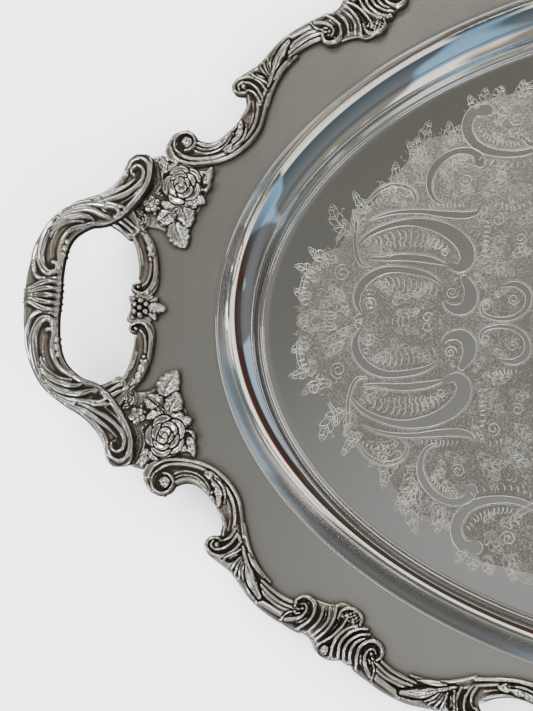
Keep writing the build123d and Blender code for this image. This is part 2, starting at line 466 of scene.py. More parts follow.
def plate_silver():
    """The body's silver plate: a mirror in the cove, hazed by fine wear on the rim and the floor."""
    mat, nodes, links = new_material("plate_silver")
    shader = nodes["Principled BSDF"]
    shader.inputs["Metallic"].default_value = 1.0
    haze = attribute(nodes, "haze")
    tarnish = attribute(nodes, "tarnish")
    cloud = add_noise(nodes, links, 14, detail=4)
    hairs = None
    for turn, scale in ((35, 70), (-22, 60), (78, 85)):
        streak = add_noise(nodes, links, scale, stretch=(1, 42, 1), turn=turn, detail=1)
        line = ramp(nodes, links, streak, [(0.66, 0.0), (0.71, 1.0)])
        hairs = line if hairs is None else math_node(nodes, links, "ADD", hairs, line)
    rough = math_node(nodes, links, "MULTIPLY_ADD", cloud, 0.16)
    rough.node.inputs[2].default_value = 0.12
    rough = math_node(nodes, links, "MULTIPLY", rough, haze)
    rough = math_node(nodes, links, "ADD", rough, 0.035)
    links.new(rough, shader.inputs["Roughness"])
    grey = math_node(nodes, links, "MULTIPLY_ADD", cloud, 0.5)
    grey.node.inputs[2].default_value = -0.16
    grey = math_node(nodes, links, "MULTIPLY", grey, haze)
    dirty = math_node(nodes, links, "ADD", tarnish, grey)
    colour = ramp(nodes, links, dirty, [(0.0, (0.86, 0.85, 0.82)), (0.25, (0.76, 0.745, 0.70)),
                                        (0.6, (0.44, 0.40, 0.33)), (1.0, (0.13, 0.105, 0.08))])
    links.new(colour, shader.inputs["Base Color"])
    height = math_node(nodes, links, "MULTIPLY", hairs, haze)
    bump = nodes.new("ShaderNodeBump")
    bump.inputs["Strength"].default_value = 0.05
    bump.inputs["Distance"].default_value = 0.0001
    links.new(height, bump.inputs["Height"])
    links.new(bump.outputs["Normal"], shader.inputs["Normal"])
    return mat


def bright_cut():
    """The freshly cut metal of the engraving, which scatters light."""
    mat, nodes, links = new_material("bright_cut_silver")
    shader = nodes["Principled BSDF"]
    shader.inputs["Metallic"].default_value = 0.86
    shader.inputs["Roughness"].default_value = 0.4
    patch = add_noise(nodes, links, 45, detail=3)
    links.new(ramp(nodes, links, patch, [(0.35, (0.58, 0.55, 0.47)), (0.65, (1.0, 0.96, 0.84))]),
              shader.inputs["Base Color"])
    return mat


def punched_ground():
    """The finely punched ground between the engraved ribbons, about as light as the floor but more matt."""
    mat, nodes, links = new_material("punched_ground_silver")
    shader = nodes["Principled BSDF"]
    shader.inputs["Metallic"].default_value = 1.0
    shader.inputs["Roughness"].default_value = 0.42
    cells = nodes.new("ShaderNodeTexVoronoi")
    cells.inputs["Scale"].default_value = 950
    coords = nodes.new("ShaderNodeTexCoord")
    links.new(coords.outputs["Object"], cells.inputs["Vector"])
    patch = add_noise(nodes, links, 40, detail=3)
    tone = math_node(nodes, links, "ADD", cells.outputs["Distance"], patch)
    links.new(ramp(nodes, links, tone, [(0.45, (0.84, 0.825, 0.78)), (0.80, (0.62, 0.61, 0.57)),
            (1.0, (0.42, 0.405, 0.365))]),
              shader.inputs["Base Color"])
    bump = nodes.new("ShaderNodeBump")
    bump.inputs["Strength"].default_value = 0.35
    bump.inputs["Distance"].default_value = 0.0003
    links.new(cells.outputs["Distance"], bump.inputs["Height"])
    links.new(bump.outputs["Normal"], shader.inputs["Normal"])
    return mat


CAST = cast_silver()
GROUND = punched_ground()
PLATE = plate_silver()
CUT = bright_cut()


# ---------------------------------------------------------------- the border, one quarter

UNIT_AT, UNIT_TURN = np.array([-201.5, 156.0]), math.radians(29.7)
UNIT_AXES = np.array([[math.cos(UNIT_TURN), math.sin(UNIT_TURN)],
                      [-math.sin(UNIT_TURN), math.cos(UNIT_TURN)]])
SIDE_AT, SIDE_STRETCH = np.array([0.0, 208.0]), 1.1


def to_unit(points):
    return (np.array(points, float) - UNIT_AT) @ UNIT_AXES.T


def corner_place(points):
    """The corner unit's points as they are."""
    return np.array(points, float)


def corner_flip(points):
    """The corner unit's points mirrored across the shell's axis."""
    return (to_unit(points) * (-1, 1)) @ UNIT_AXES + UNIT_AT


def side_place(points):
    """The corner unit's points carried to the unit at the middle of the long side."""
    return to_unit(points) * (SIDE_STRETCH, 1) + SIDE_AT


def side_flip(points):
    """The same unit mirrored across its shell's axis."""
    return to_unit(points) * (-SIDE_STRETCH, 1) + SIDE_AT


SCROLL_OUTER = [(-73, -7.5), (-76.5, -3.5), (-77, 1), (-74.5, 4), (-67.5, 5), (-60, 5.5),
                (-53, 8), (-45, 11), (-36, 12.5), (-25, 12.5), (-14, 10.5)]
SCROLL_INNER = [(-20, -1), (-29, 0.5), (-38, 0.5), (-47, -2.5), (-55, -7.5), (-63.5, -14.5)]
SHELL_OUTLINE = [(-14, 10.5), (-9, 11), (-5, 13.7), (0, 15), (5, 13.7), (9, 11), (14, 10.5), (20, -1),
                 (19, -6), (13, -7.5), (8, -9.5), (5, -12.5), (0, -13.2), (-5, -12.5), (-8, -9.5),
                 (-13, -7.5), (-19, -6), (-20, -1)]


def from_unit(points):
    return np.array(points, float) @ UNIT_AXES + UNIT_AT


def bracket_scroll(r, where):
    """The S-scroll with its outer volute, leaf sheath and reeded mouldings, at the corner unit's end."""
    r.plate(where(from_unit(SCROLL_OUTER + SCROLL_INNER)), 1.7)
    # reeded mouldings from the sheath to the shell's volute
    r.stroke(where([(-239.5, 134.3), (-234, 138.9), (-228, 142.5), (-221, 144.6), (-216, 144)]),
             [0.9, 1.1, 0.9], [3.2, 3.4, 3.6])
    r.stroke(where([(-240, 136.7), (-235, 141), (-229, 144.8), (-221, 147), (-216, 146.5)]),
             [0.9, 1.0, 0.9], [3.8, 4.0, 4.2])
    r.stroke(where([(-240, 139.4), (-235, 143.3), (-229, 147), (-220, 149.2), (-216, 148.5)]),
             [1.0, 1.1, 0.9], [4.0, 4.2, 4.4])
    r.stroke(where([(-240.5, 144.2), (-235, 147), (-228, 150.3), (-220, 152.3), (-214, 151.6)]),
             [1.6, 1.9, 1.6], [4.6, 5.0, 5.0])
    # long inner ridges that run on from the next scroll
    r.stroke(where([(-249.8, 108), (-248.4, 114), (-246.2, 120.5), (-243, 126.5), (-239, 131.8),
                    (-235.5, 135)]), [0.8, 1.0, 1.0, 0.8], [3.0, 3.2, 3.0])
    r.stroke(where([(-253.8, 109), (-251.8, 115), (-249.8, 121), (-248.9, 128), (-247.8, 134),
                    (-245.5, 139.5), (-242.5, 143)]), [0.9, 0.9, 0.8], [3.6, 3.8, 3.4])
    # leaf sheath
    r.stroke(where([(-250, 118.5), (-247.6, 126), (-245.4, 133), (-242.8, 138.5), (-240.3, 142.5)]),
             [0.8, 2.4, 3.1, 2.9, 1.8],
             [3.4, 4.8, 5.4, 5.4, 4.4], "soft", carve=0.5)
    r.stroke(where([(-247, 122), (-243.8, 127), (-241, 130.6), (-238.5, 133.6)]), [0.6, 1.5, 1.2, 0.4],
             [3.6, 4.6, 4.2], carve=0.4)
    r.stroke(where([(-249.5, 121), (-247.2, 128), (-245, 134.5), (-242.5, 140)]), [0.25, 0.35, 0.25],
             [5.0, 5.9, 5.4], foot=3.6)
    # outer volute with its berry
    r.stroke(where([(-251, 116.5), (-254.5, 121), (-260, 123.7), (-265.5, 122.6), (-268.3, 119),
                    (-267, 115.8), (-263.6, 114.8), (-260.7, 116.4)]),
             [0.9, 1.1, 1.2, 1.1, 0.9], [3.6, 4.2, 4.4, 4.0], carve=0.3)
    r.stroke(where([(-253, 112.5), (-255.5, 117), (-259.5, 119.9), (-263.8, 120.4), (-265.8, 118.6),
                    (-264.9, 116.8)]),
             [0.9, 1.0, 0.8], [4.0, 4.8, 4.8], carve=0.3)
    r.stroke(where([(-254, 110), (-256, 113.8), (-259, 115.9), (-261.5, 116.4)]), [1.0, 1.0, 0.6],
             [3.8, 4.4, 4.2], carve=0.3)
    r.dome(where([(-262.9, 118.3)])[0], 1.5, 5.2)
    # frilled leaf and tongues
    r.stroke(where([(-250.8, 120.2), (-254.5, 122.6), (-258.3, 124.6), (-258.6, 126.6), (-255.5, 127.3),
                    (-252.8, 125.6)]), [0.8, 0.9, 0.7], [3.8, 4.2, 3.6], carve=0.3)
    r.stroke(where([(-252, 122.8), (-255, 124.2), (-256.4, 125.4)]), [0.5, 0.6, 0.4], [4.2, 4.4, 4.0],
             carve=0.2)
    r.stroke(where([(-265.5, 122.8), (-261, 125.6), (-257, 128.2), (-253, 129.4)]), [0.7, 0.8, 0.6],
             [3.0, 3.2, 2.8])
    for k, tip in enumerate([(-255.6, 131), (-253.4, 133.4), (-250.8, 134.6), (-248.8, 134.8)]):
        root = (-250.3 + 0.55 * k, 123.5 + 1.0 * k)
        belly = ((root[0] + tip[0]) / 2 - 0.5, (root[1] + tip[1]) / 2)
        r.stroke(where([root, belly, tip]), [0.5, 1.0, 0.9, 0.5], [4.2, 4.2, 3.0], carve=0.25)


def shell(r, where, flip):
    """A rocaille shell: two volutes, a netted crest and S-curved ribs."""
    r.plate(where(from_unit(SHELL_OUTLINE)), 2.0)
    ribs = [[(-212.2, 147.4), (-213, 150), (-214.8, 152.6), (-218.5, 155.4)],
            [(-208.8, 146.2), (-209.6, 150.4), (-211.6, 153.7), (-216, 157.6)],
            [(-205.3, 146.2), (-205.6, 150.5), (-208, 154.5), (-213.5, 159.5)],
            [(-202.2, 145.2), (-203, 150), (-205.6, 155.3), (-212, 161.5)],
            [(-196.5, 149.5), (-199, 153.8), (-204, 159), (-210.5, 163.5)],
            [(-190.8, 152.9), (-196, 154.6), (-200.2, 158), (-203, 162.5), (-204.2, 168.3)],
            [(-187, 154.6), (-191.5, 154.8), (-196.3, 157.6), (-199.7, 162), (-200.8, 169.2)],
            [(-186, 157), (-190.3, 157.4), (-195, 160.2), (-197.6, 164.5), (-197.9, 170)],
            [(-186.5, 159.2), (-190.6, 160), (-193.8, 163), (-195, 167), (-194.8, 171)]]
    for k, rib in enumerate(ribs):
        bend = 4.4 + 1.6 * math.sin(math.pi * (k + 0.5) / len(ribs))
        r.stroke(where(rib), [0.9, 1.05, 1.15, 1.0], [bend - 0.8, bend, bend, bend - 1.2], foot=1.4)
    for a, b in ((1, 2), (2, 3), (3, 4), (4, 5), (5, 6)):
        between = [(np.array(p) + q) / 2 for p, q in zip(ribs[a][:4], ribs[b][:4])]
        r.stroke(where(between), [0.5, 0.6, 0.6], [3.6, 4.0, 3.2], foot=1.4)
    # netted crest
    r.stroke(where([(-201.2, 150.5), (-200, 147), (-196.5, 145.4), (-192.5, 146.4), (-189.8, 149.5),
                    (-190.6, 152.8)]), [0.8, 1.0, 0.9], [4.8, 5.2, 4.8], carve=0.2)
    for k in range(4):
        r.stroke(where([(-199.8 + 2.1 * k, 147.3), (-197.8 + 1.9 * k, 151.8)]), [0.32, 0.32], [4.0, 4.0],
                 foot=2.0)
        r.stroke(where([(-193.6 + 1.2 * k, 147.1 + 0.9 * k), (-199.4 + 1.6 * k, 149.6 + 1.1 * k)]),
                 [0.32, 0.32], [4.0, 4.0], foot=2.0)
    # knuckle at the outer edge
    r.dome(where([(-207.3, 165.3)])[0], 2.5, 5.4, ratio=1.25, turn=-60, power=0.6)
    # the volute at either end
    for side in (where, flip):
        r.stroke(side([(-191.8, 173.5), (-191.6, 167.5), (-190, 163), (-186.3, 160.2), (-182.4, 160.5),
                (-179.9, 163.3), (-180, 166.8), (-182, 168.6)]),
                 [1.1, 1.2, 1.2, 1.0], [4.4, 5.2, 5.4, 4.8], carve=0.4, cut=1.2)
        r.stroke(side([(-185, 176), (-187.2, 172), (-187.8, 167.8), (-186, 164.2), (-183.4, 163.8),
                (-182.6, 165.6)]),
                 [1.5, 1.3, 1.0, 0.8], [5.0, 5.6, 5.8, 5.4], carve=0.4, cut=1.2)
        r.dome(side([(-184.7, 165.9)])[0], 1.25, 5.9, cut=1.6)
        r.stroke(side([(-184.5, 178.5), (-183.2, 173.5), (-184.3, 169.6)]), [0.9, 0.9, 0.6],
                 [4.0, 4.6, 4.4], carve=0.3)


END_HOLLOW_OUTER = [(-304, 85), (-301.5, 90), (-298, 94), (-294, 95.8), (-290, 94), (-286, 90.6),
                    (-280.5, 89), (-275, 90.3), (-269, 95), (-264, 101), (-261.2, 107)]
END_HOLLOW_INNER = [(-251, 104), (-252.5, 97), (-256, 90), (-262, 84), (-269, 79.5), (-277, 76.8),
                    (-286, 75.8), (-295, 77), (-301.5, 80)]


def end_hollow(r):
    """The concave scroll beside the rose spray."""
    outline = END_HOLLOW_OUTER + [(-261.2, 114), (-249.5, 112)] + END_HOLLOW_INNER
    r.plate(outline, 1.5)
    r.stroke([(-300.5, 86.5), (-298, 81), (-292, 77.9), (-284.5, 77.3), (-276, 78.2), (-268.5, 80.8),
              (-262, 85), (-256.8, 90.3),
              (-253.2, 96.5), (-251.6, 103), (-250.6, 109), (-249.6, 114)], [1.0, 1.1, 1.1, 1.0], [3.4,
                      3.8, 3.8, 3.2])
    r.stroke([(-296.5, 92.5), (-298, 88.5), (-296.5, 84), (-291.5, 80.5), (-284, 79.5), (-276, 80.4),
              (-268.8, 83.2), (-262.8, 87.6),
              (-258.4, 92.8), (-255.8, 98.5), (-254.8, 105), (-255.2, 111)], [1.1, 1.1, 1.0, 0.9], [4.6,
                      4.4, 4.2, 3.8])
    r.stroke([(-292, 95), (-298.5, 93), (-302.6, 87.5)], [1.0, 1.0, 0.8], [3.2, 3.0, 2.4])
    # channel with fine ridges, and the outer ridge
    r.stroke([(-288.5, 85), (-283, 82.8), (-277, 83.4), (-272, 86.2), (-269, 89.8), (-267.6, 92.8)],
             [0.5, 0.7, 0.6], [2.6, 2.9, 2.7])
    r.stroke([(-288, 87), (-282.5, 84.9), (-276.5, 85.6), (-271.5, 88.8), (-268.3, 92.8)], [0.5, 0.7, 0.5],
             [2.7, 3.0, 2.8])
    r.stroke([(-287.5, 89), (-281, 86.9), (-275.6, 88.0), (-270.4, 91.7), (-266.2, 96.2), (-263.4, 100.3)],
             [1.0, 1.3, 1.3, 0.9], [3.8, 4.4, 4.4, 3.8])
    r.stroke([(-263.6, 101), (-260.9, 105), (-259.5, 109.5), (-260.2, 113.8)], [0.9, 1.1, 0.8],
             [3.6, 4.0, 3.4])
    r.stroke([(-259.2, 96), (-257.6, 101), (-257.2, 106), (-257.8, 111)], [0.5, 0.6, 0.5], [2.4, 2.7, 2.4])
    # the volute and its berry
    r.stroke(spiral((-292.2, 88.6), 6.6, 4.3, 250, -0.95), [0.8, 1.1, 1.1, 1.0], [4.2, 4.8, 4.8, 4.2],
             carve=0.3, cut=1.0)
    r.dome((-291.5, 88.8), 3.3, 6.0, carve=0.5, cut=0.9)
    r.stroke([(-293.6, 88), (-292, 90.2), (-289.6, 89.8)], [0.3, 0.35, 0.3], [6.2, 6.4, 6.2], foot=5.0)
    # curl and leaf over the middle
    r.stroke([(-271.5, 84.2), (-267.4, 87), (-265.8, 90.6), (-267.4, 93.6)], [0.8, 1.1, 1.0, 0.7],
             [3.8, 4.6, 4.6, 3.8], carve=0.4)
    r.leaf([(-271, 82.8), (-266, 86.5), (-263.6, 92), (-263.2, 100.5)], 2.6, 5.6, lobes=4, carve=0.6)
    r.stroke([(-266.5, 85.5), (-261.8, 89.5), (-260.2, 94.5), (-260.6, 98)], [0.6, 1.0, 0.9, 0.4],
             [4.2, 4.8, 3.8], carve=0.3)


SIDE_HOLLOW_OUTER = [(-131.5, 184.5), (-126, 182.5), (-119, 181.8), (-112, 183.2), (-105, 186.5),
                     (-97, 190), (-89, 194)]
SIDE_HOLLOW_INNER = [(-80, 189.5), (-90, 184), (-100, 178), (-110, 174), (-120, 172.6), (-130, 173)]


def side_hollow(r):
    """The concave scroll between two bracket units."""
    r.plate([(-136, 186)] + SIDE_HOLLOW_OUTER + [(-84, 198),
            (-76, 192)] + SIDE_HOLLOW_INNER + [(-140, 174.6)], 1.5)
    r.stroke([(-136, 174.6), (-128, 174.1), (-119, 174.2), (-109.5, 175.8), (-100, 179.6), (-90, 185.3),
              (-80, 191)],
             [0.9, 1.1, 1.1, 0.9], [3.4, 3.8, 3.8, 3.4])
    r.stroke([(-134, 177), (-127, 176.2), (-119, 176.3), (-110, 178), (-101, 181.8), (-92, 187),
              (-84, 191.6)],
             [0.9, 1.0, 0.9], [4.0, 4.2, 3.8])
    r.stroke([(-131.5, 179.5), (-126, 178.5), (-120, 178.5), (-113, 179.8)], [0.5, 0.6, 0.5],
             [2.6, 2.9, 2.6])
    r.stroke([(-131.5, 182.6), (-125, 180.9), (-118.6, 180.6), (-111.4, 182), (-104, 185.3), (-96, 188.9),
              (-88, 192.8)],
             [1.0, 1.2, 1.2, 0.9], [3.8, 4.4, 4.4, 3.6])
    r.leaf([(-126, 177.2), (-118.5, 177.6), (-111.5, 180.2), (-103.5, 185.8)], 2.6, 5.6, lobes=4, carve=0.6)
    r.stroke([(-121, 176.3), (-114, 176.9), (-107.5, 179.8), (-103, 183)], [0.6, 1.0, 0.9, 0.4],
             [4.2, 4.8, 3.8], carve=0.3)


def build_border():
    """The relief of one quarter's border, with the whole shell at the middle of the long side."""
    r = Relief(-306, 24, 70, 224)
    end_hollow(r)
    side_hollow(r)
    for where in (corner_place, corner_flip, side_place):
        bracket_scroll(r, where)
    bracket_scroll(r, side_flip)
    shell(r, corner_place, corner_flip)
    shell(r, side_place, side_flip)
    r.finish()
    return r


# Joints between the castings, each from its outer to its inner end, in the corner unit's own axes.
UNIT_JOINTS = [((-73, -7.5), (-63.5, -14.5)), ((-14, 10.5), (-20, -1)), ((14, 10.5), (20, -1)),
               ((73, -7.5), (63.5, -14.5))]
CUTS = ([from_unit(ends) for ends in UNIT_JOINTS]
        + [np.array(ends) * (SIDE_STRETCH, 1) + SIDE_AT for ends in UNIT_JOINTS[:3]])
JOINT = 0.03                                              # half the seam between two castings
ALONG_BORDER = ["end_hollow_scroll", "corner_scroll_end", "corner_shell", "corner_scroll_side",
                "side_hollow_scroll", "middle_scroll", "middle_shell"]

# The sheet's edge for the left back quarter, hidden under the castings.
RIM_EDGE = [(-311, 0), (-309, 14), (-308.5, 24), (-311, 36), (-313.5, 45), (-313, 56), (-309.5, 66),
            (-306, 75),
            (-298, 83), (-287, 83), (-276, 84), (-266, 88.5), (-258.5, 97), (-255.5, 107), (-254.5, 117),
            (-249, 128), (-241, 138), (-230, 145.5), (-217, 150), (-207, 158), (-197, 165), (-186, 170.5),
            (-174, 177.5), (-160, 182), (-146, 181), (-133, 179), (-120, 178), (-108, 180), (-97, 185),
            (-85, 192.5), (-76, 202), (-60, 210), (-40, 213.5), (-20, 213.5), (0, 215)]
EDGE_PATH = smooth_path(RIM_EDGE)
EDGE_ANGLE = np.arctan2(EDGE_PATH[:, 1], -EDGE_PATH[:, 0])
EDGE_REACH = np.hypot(EDGE_PATH[:, 0], EDGE_PATH[:, 1])


def edge_reach(angle):
    """Distance from the tray's centre to the sheet's edge, for angles of the first quarter."""
    return np.interp(angle, EDGE_ANGLE, EDGE_REACH)


def border_foot(x, y):
    """Castings lie on the rim, and past the sheet's edge they turn down over it."""
    over = math.hypot(x, y) - edge_reach(math.atan2(abs(y), abs(x)))
    return RIM_TOP - 0.05 - (RIM_TOP - FOOT) * min(max(over / 1.0, 0), 1)


def place_border(r):
    for k, name in enumerate(ALONG_BORDER):
        domain = np.full(r.high.shape, 99.0)
        if k > 0:
            domain = np.minimum(domain, side_of(r, *CUTS[k - 1]) - JOINT)
        if k < len(CUTS):
            domain = np.minimum(domain, -side_of(r, *CUTS[k]) - JOINT)
        data = contoured(r, domain)
        if name == "middle_shell":
            place("middle_shell_back", data)
            place("middle_shell_front", data, 1, -1)
        else:
            place_quarters(name, data)


# ---------------------------------------------------------------- rose spray

SPRAY_OUTLINE = [(-313, 80.5), (-304.5, 82.5), (-302.5, 79), (-295.5, 76), (-286, 74.8), (-278, 75.2),
                 (-276.6, 71), (-278.5, 65), (-281, 57), (-285, 48), (-287.5, 39), (-289.5, 32.5),
                 (-295, 35), (-301, 41), (-305.5, 43), (-311, 43.5), (-318, 45), (-323, 49), (-322, 56),
                 (-319, 62), (-316, 69), (-315, 75)]


def build_spray():
    r = Relief(-322, -268, 24, 90, 0.27)
    r.plate(SPRAY_OUTLINE, 0.9, stipple=0.16)
    r.leaf([(-295.6, 45.5), (-294, 41), (-291.6, 36.5), (-289.2, 32)], 6.0, 4.2, lobes=5, foot=0.8)
    r.leaf([(-292.8, 54.8), (-291, 51), (-289.3, 47.5), (-288.6, 42.8)], 5.2, 4.6, lobes=5, foot=0.8)
    r.leaf([(-291.4, 57), (-287.5, 57), (-284, 58), (-279.8, 56.4)], 4.0, 4.2, lobes=4, foot=0.8)
    r.leaf([(-290.5, 58.5), (-286, 60.5), (-284.5, 62.8)], 2.2, 3.2, lobes=3, foot=0.8)
    r.leaf([(-295.6, 52.2), (-299, 50.8), (-302, 49.8), (-305.6, 46.6)], 2.7, 3.8, lobes=4, foot=0.8)
    r.leaf([(-295, 50.6), (-297.2, 48), (-300, 46.2), (-303.6, 44.8)], 2.6, 3.8, lobes=4, foot=0.8)
    r.leaf([(-294.4, 57.2), (-297.5, 55.3), (-300.5, 55.2), (-304, 57.2)], 2.8, 3.6, lobes=4, foot=0.8)
    r.leaf([(-302, 72), (-303, 76), (-305, 81.5)], 2.6, 3.4, lobes=3, foot=0.8)
    r.leaf([(-301, 73.5), (-299, 76), (-296, 78)], 1.8, 3.0, lobes=3, foot=0.8)
    # stems
    r.stroke([(-292.6, 59), (-292.7, 55.6), (-294.6, 52.4), (-298.5, 49), (-303, 46)], [0.55, 0.5, 0.4],
             [3.8, 4.6, 3.8], carve=0.25)
    r.stroke([(-293.4, 58.6), (-293.6, 56.3), (-295.4, 53.6), (-299, 51.6)], [0.45, 0.4], [3.6, 4.2],
             carve=0.2)
    r.stroke([(-292, 58.6), (-292.2, 55), (-291.4, 52.4)], [0.5, 0.4], [3.8, 4.8], carve=0.25)
    r.stroke([(-295.5, 50.5), (-295.8, 47.6), (-294.8, 44.4)], [0.45, 0.35], [3.8, 4.2], carve=0.2)
    # curl and its leaf on the inner side
    r.stroke([(-284.8, 65), (-283, 63.1), (-280.2, 62.9), (-278.2, 65), (-278.8, 68.2), (-281.6, 70.6),
              (-285.4, 72.8), (-290, 75.4), (-294.5, 76.4)],
             [0.7, 1.0, 1.0, 0.8], [3.4, 4.4, 4.4, 3.0], foot=0.8)
    r.leaf([(-280.5, 65.5), (-279.4, 69), (-278.6, 72), (-277.4, 75.8)], 2.3, 4.0, lobes=3, foot=0.8)
    r.stroke([(-284.5, 73), (-281, 72.4), (-278.6, 73.6)], [0.7, 0.9, 0.5], [3.0, 3.2], foot=0.8)
    # frame ridges towards the volute
    r.stroke([(-306.8, 62), (-304.4, 66), (-304, 70.5), (-305.6, 76), (-306.8, 79.2)], [0.6, 0.8, 0.6],
             [2.4, 2.8, 2.4], foot=0.8)
    r.stroke([(-321.5, 46), (-318.5, 42.6), (-314.6, 41.4), (-311.4, 43), (-310, 46.6), (-310.8, 50.5)],
             [0.5, 0.7, 0.5], [2.4, 2.8, 2.4], foot=0.8)
    # the roses and the small flower
    r.rose((-292.8, 65.6), 10.2, 5.4, turn=15)
    r.flower((-308.9, 55.6), 4.6, 3.8, turn=20)
    r.rose((-315.8, 47.2), 5.0, 4.2, turn=60)
    for at, size in (((-305.4, 61.5), 1.0), ((-304.8, 53.6), 0.9), ((-306.8, 50.6), 1.0),
                     ((-303.6, 60.2), 0.7)):
        r.dome(at, size, 2.6, foot=0.8)
    r.finish(0.5)
    return r


# ---------------------------------------------------------------- inner rail and flower of the handle

RAIL_OUTLINE = [(-323, 44), (-318, 38), (-315, 32), (-312.8, 25), (-312, 17), (-313, 12.6), (-316.8, 10.4),
                (-314, 6.6), (-308, 6), (-304, 8.5), (-302.5, 13), (-302.5, 20), (-304, 28), (-307.5, 36),
                (-311, 41), (-316.5, 46.5)]


def build_rail():
    r = Relief(-330, -297, 3, 52, 0.27)
    r.plate(RAIL_OUTLINE, 2.2)
    r.stroke([(-323, 43), (-318.8, 39.8), (-315.4, 34.5), (-313.2, 28), (-311.9, 21), (-312, 15.4)],
             [1.2, 1.3, 1.2, 0.9], [4.2, 4.6, 4.8, 4.4])
    r.stroke([(-318.5, 44.4), (-314, 40.4), (-309.8, 34.8), (-307.4, 28.4), (-306.2, 21), (-307.4, 14.4),
              (-309.8, 11.6)], [1.1, 1.2, 1.1, 0.8], [4.6, 4.9, 4.9, 4.6])
    r.stroke([(-312.8, 42.6), (-308.2, 36), (-305.2, 28.6), (-303.9, 20), (-304.6, 13), (-307.6, 8.6),
              (-311.6, 7.8), (-315, 9.8), (-314.8, 12.2), (-312.6, 12.6)],
             [0.9, 1.2, 1.2, 1.1, 0.9], [3.8, 4.4, 5.0, 5.2, 4.6], carve=0.3)
    r.dome((-312.1, 10.9), 1.2, 5.4)
    r.stroke([(-320, 41.4), (-315.8, 37), (-312.6, 30.5), (-310.6, 23)], [0.4, 0.5, 0.4], [3.2, 3.4, 3.2],
             foot=1.6)
    r.leaf([(-306.6, 24.5), (-306.8, 30), (-309, 36), (-313.5, 40.6)], 2.2, 5.8, lobes=4, carve=0.5)
    r.dome((-306.7, 25.4), 1.3, 5.6, ratio=1.2, turn=80)
    r.finish(0.5)
    return r


FLOWER_OUTLINE = [(-318, 6.4), (-316.4, 0), (-318, -6.4), (-312, -7.6), (-305, -6.8), (-302.5, -3),
                  (-297.6, 0), (-302.5, 3),
                  (-305, 6.8), (-312, 7.6)]


def build_flower():
    r = Relief(-322, -293, -13, 13, 0.25)
    r.plate(FLOWER_OUTLINE, 2.0, stipple=0.12)
    for out in (55, -55):
        c, s = math.cos(math.radians(out)), math.sin(math.radians(out))
        r.leaf([(-307, 1.5 * s), (-305 + 1.4 * c, 3.4 * s), (-303 + 1.2 * c, 7.6 * s)], 2.1, 4.4, lobes=3)
    r.leaf([(-307, 0), (-304, 0.2), (-300.5, 0), (-297, -0.3)], 3.0, 4.8, lobes=4)
    for k in range(6):
        a = math.radians(60 * k + 30)
        r.dome((-310.6 + 3.5 * math.cos(a), 3.7 * math.sin(a)), 1.75, 5.9, power=0.6)
    r.dome((-310.6, 0), 1.7, 6.6, power=0.6)
    for y in (-5.9, 5.9):
        r.dome((-314.6, y * 0.82), 1.3, 4.4)
    r.finish(0.5)
    return r


def place_rail_and_flower(rail, flower):
    place_quarters("handle_rail", contoured(rail, side_of(rail, (-330, 5.2), (-297, 5.2))))
    data = contoured(flower)
    place("handle_flower_left", data)
    place("handle_flower_right", data, -1)


# ---------------------------------------------------------------- handle grip

# One half of the grip from its middle to the arm's volute: place, height over the rim, width, thickness.
GRIP = [(-354, 0, 27, 20.5, 13.5), (-353.8, 13, 26.5, 19.5, 13), (-352, 27, 24.5, 18, 12.5),
        (-347.5, 38, 21, 17.5, 12), (-339, 45.8, 16, 17.2, 11.5), (-330, 50.2, 11, 19, 10.5),
        (-322.5, 58, 7, 18, 9.5), (-317.5, 67, 5, 16.5, 8.5), (-315.6, 75, 4.2, 15.5, 8),
        (-315.2, 82, 3.9, 14.5, 7.2)]


CORE_IN, CORE_UNDER = 1.9, 1.7                            # how far the grip's core lies under its chasing


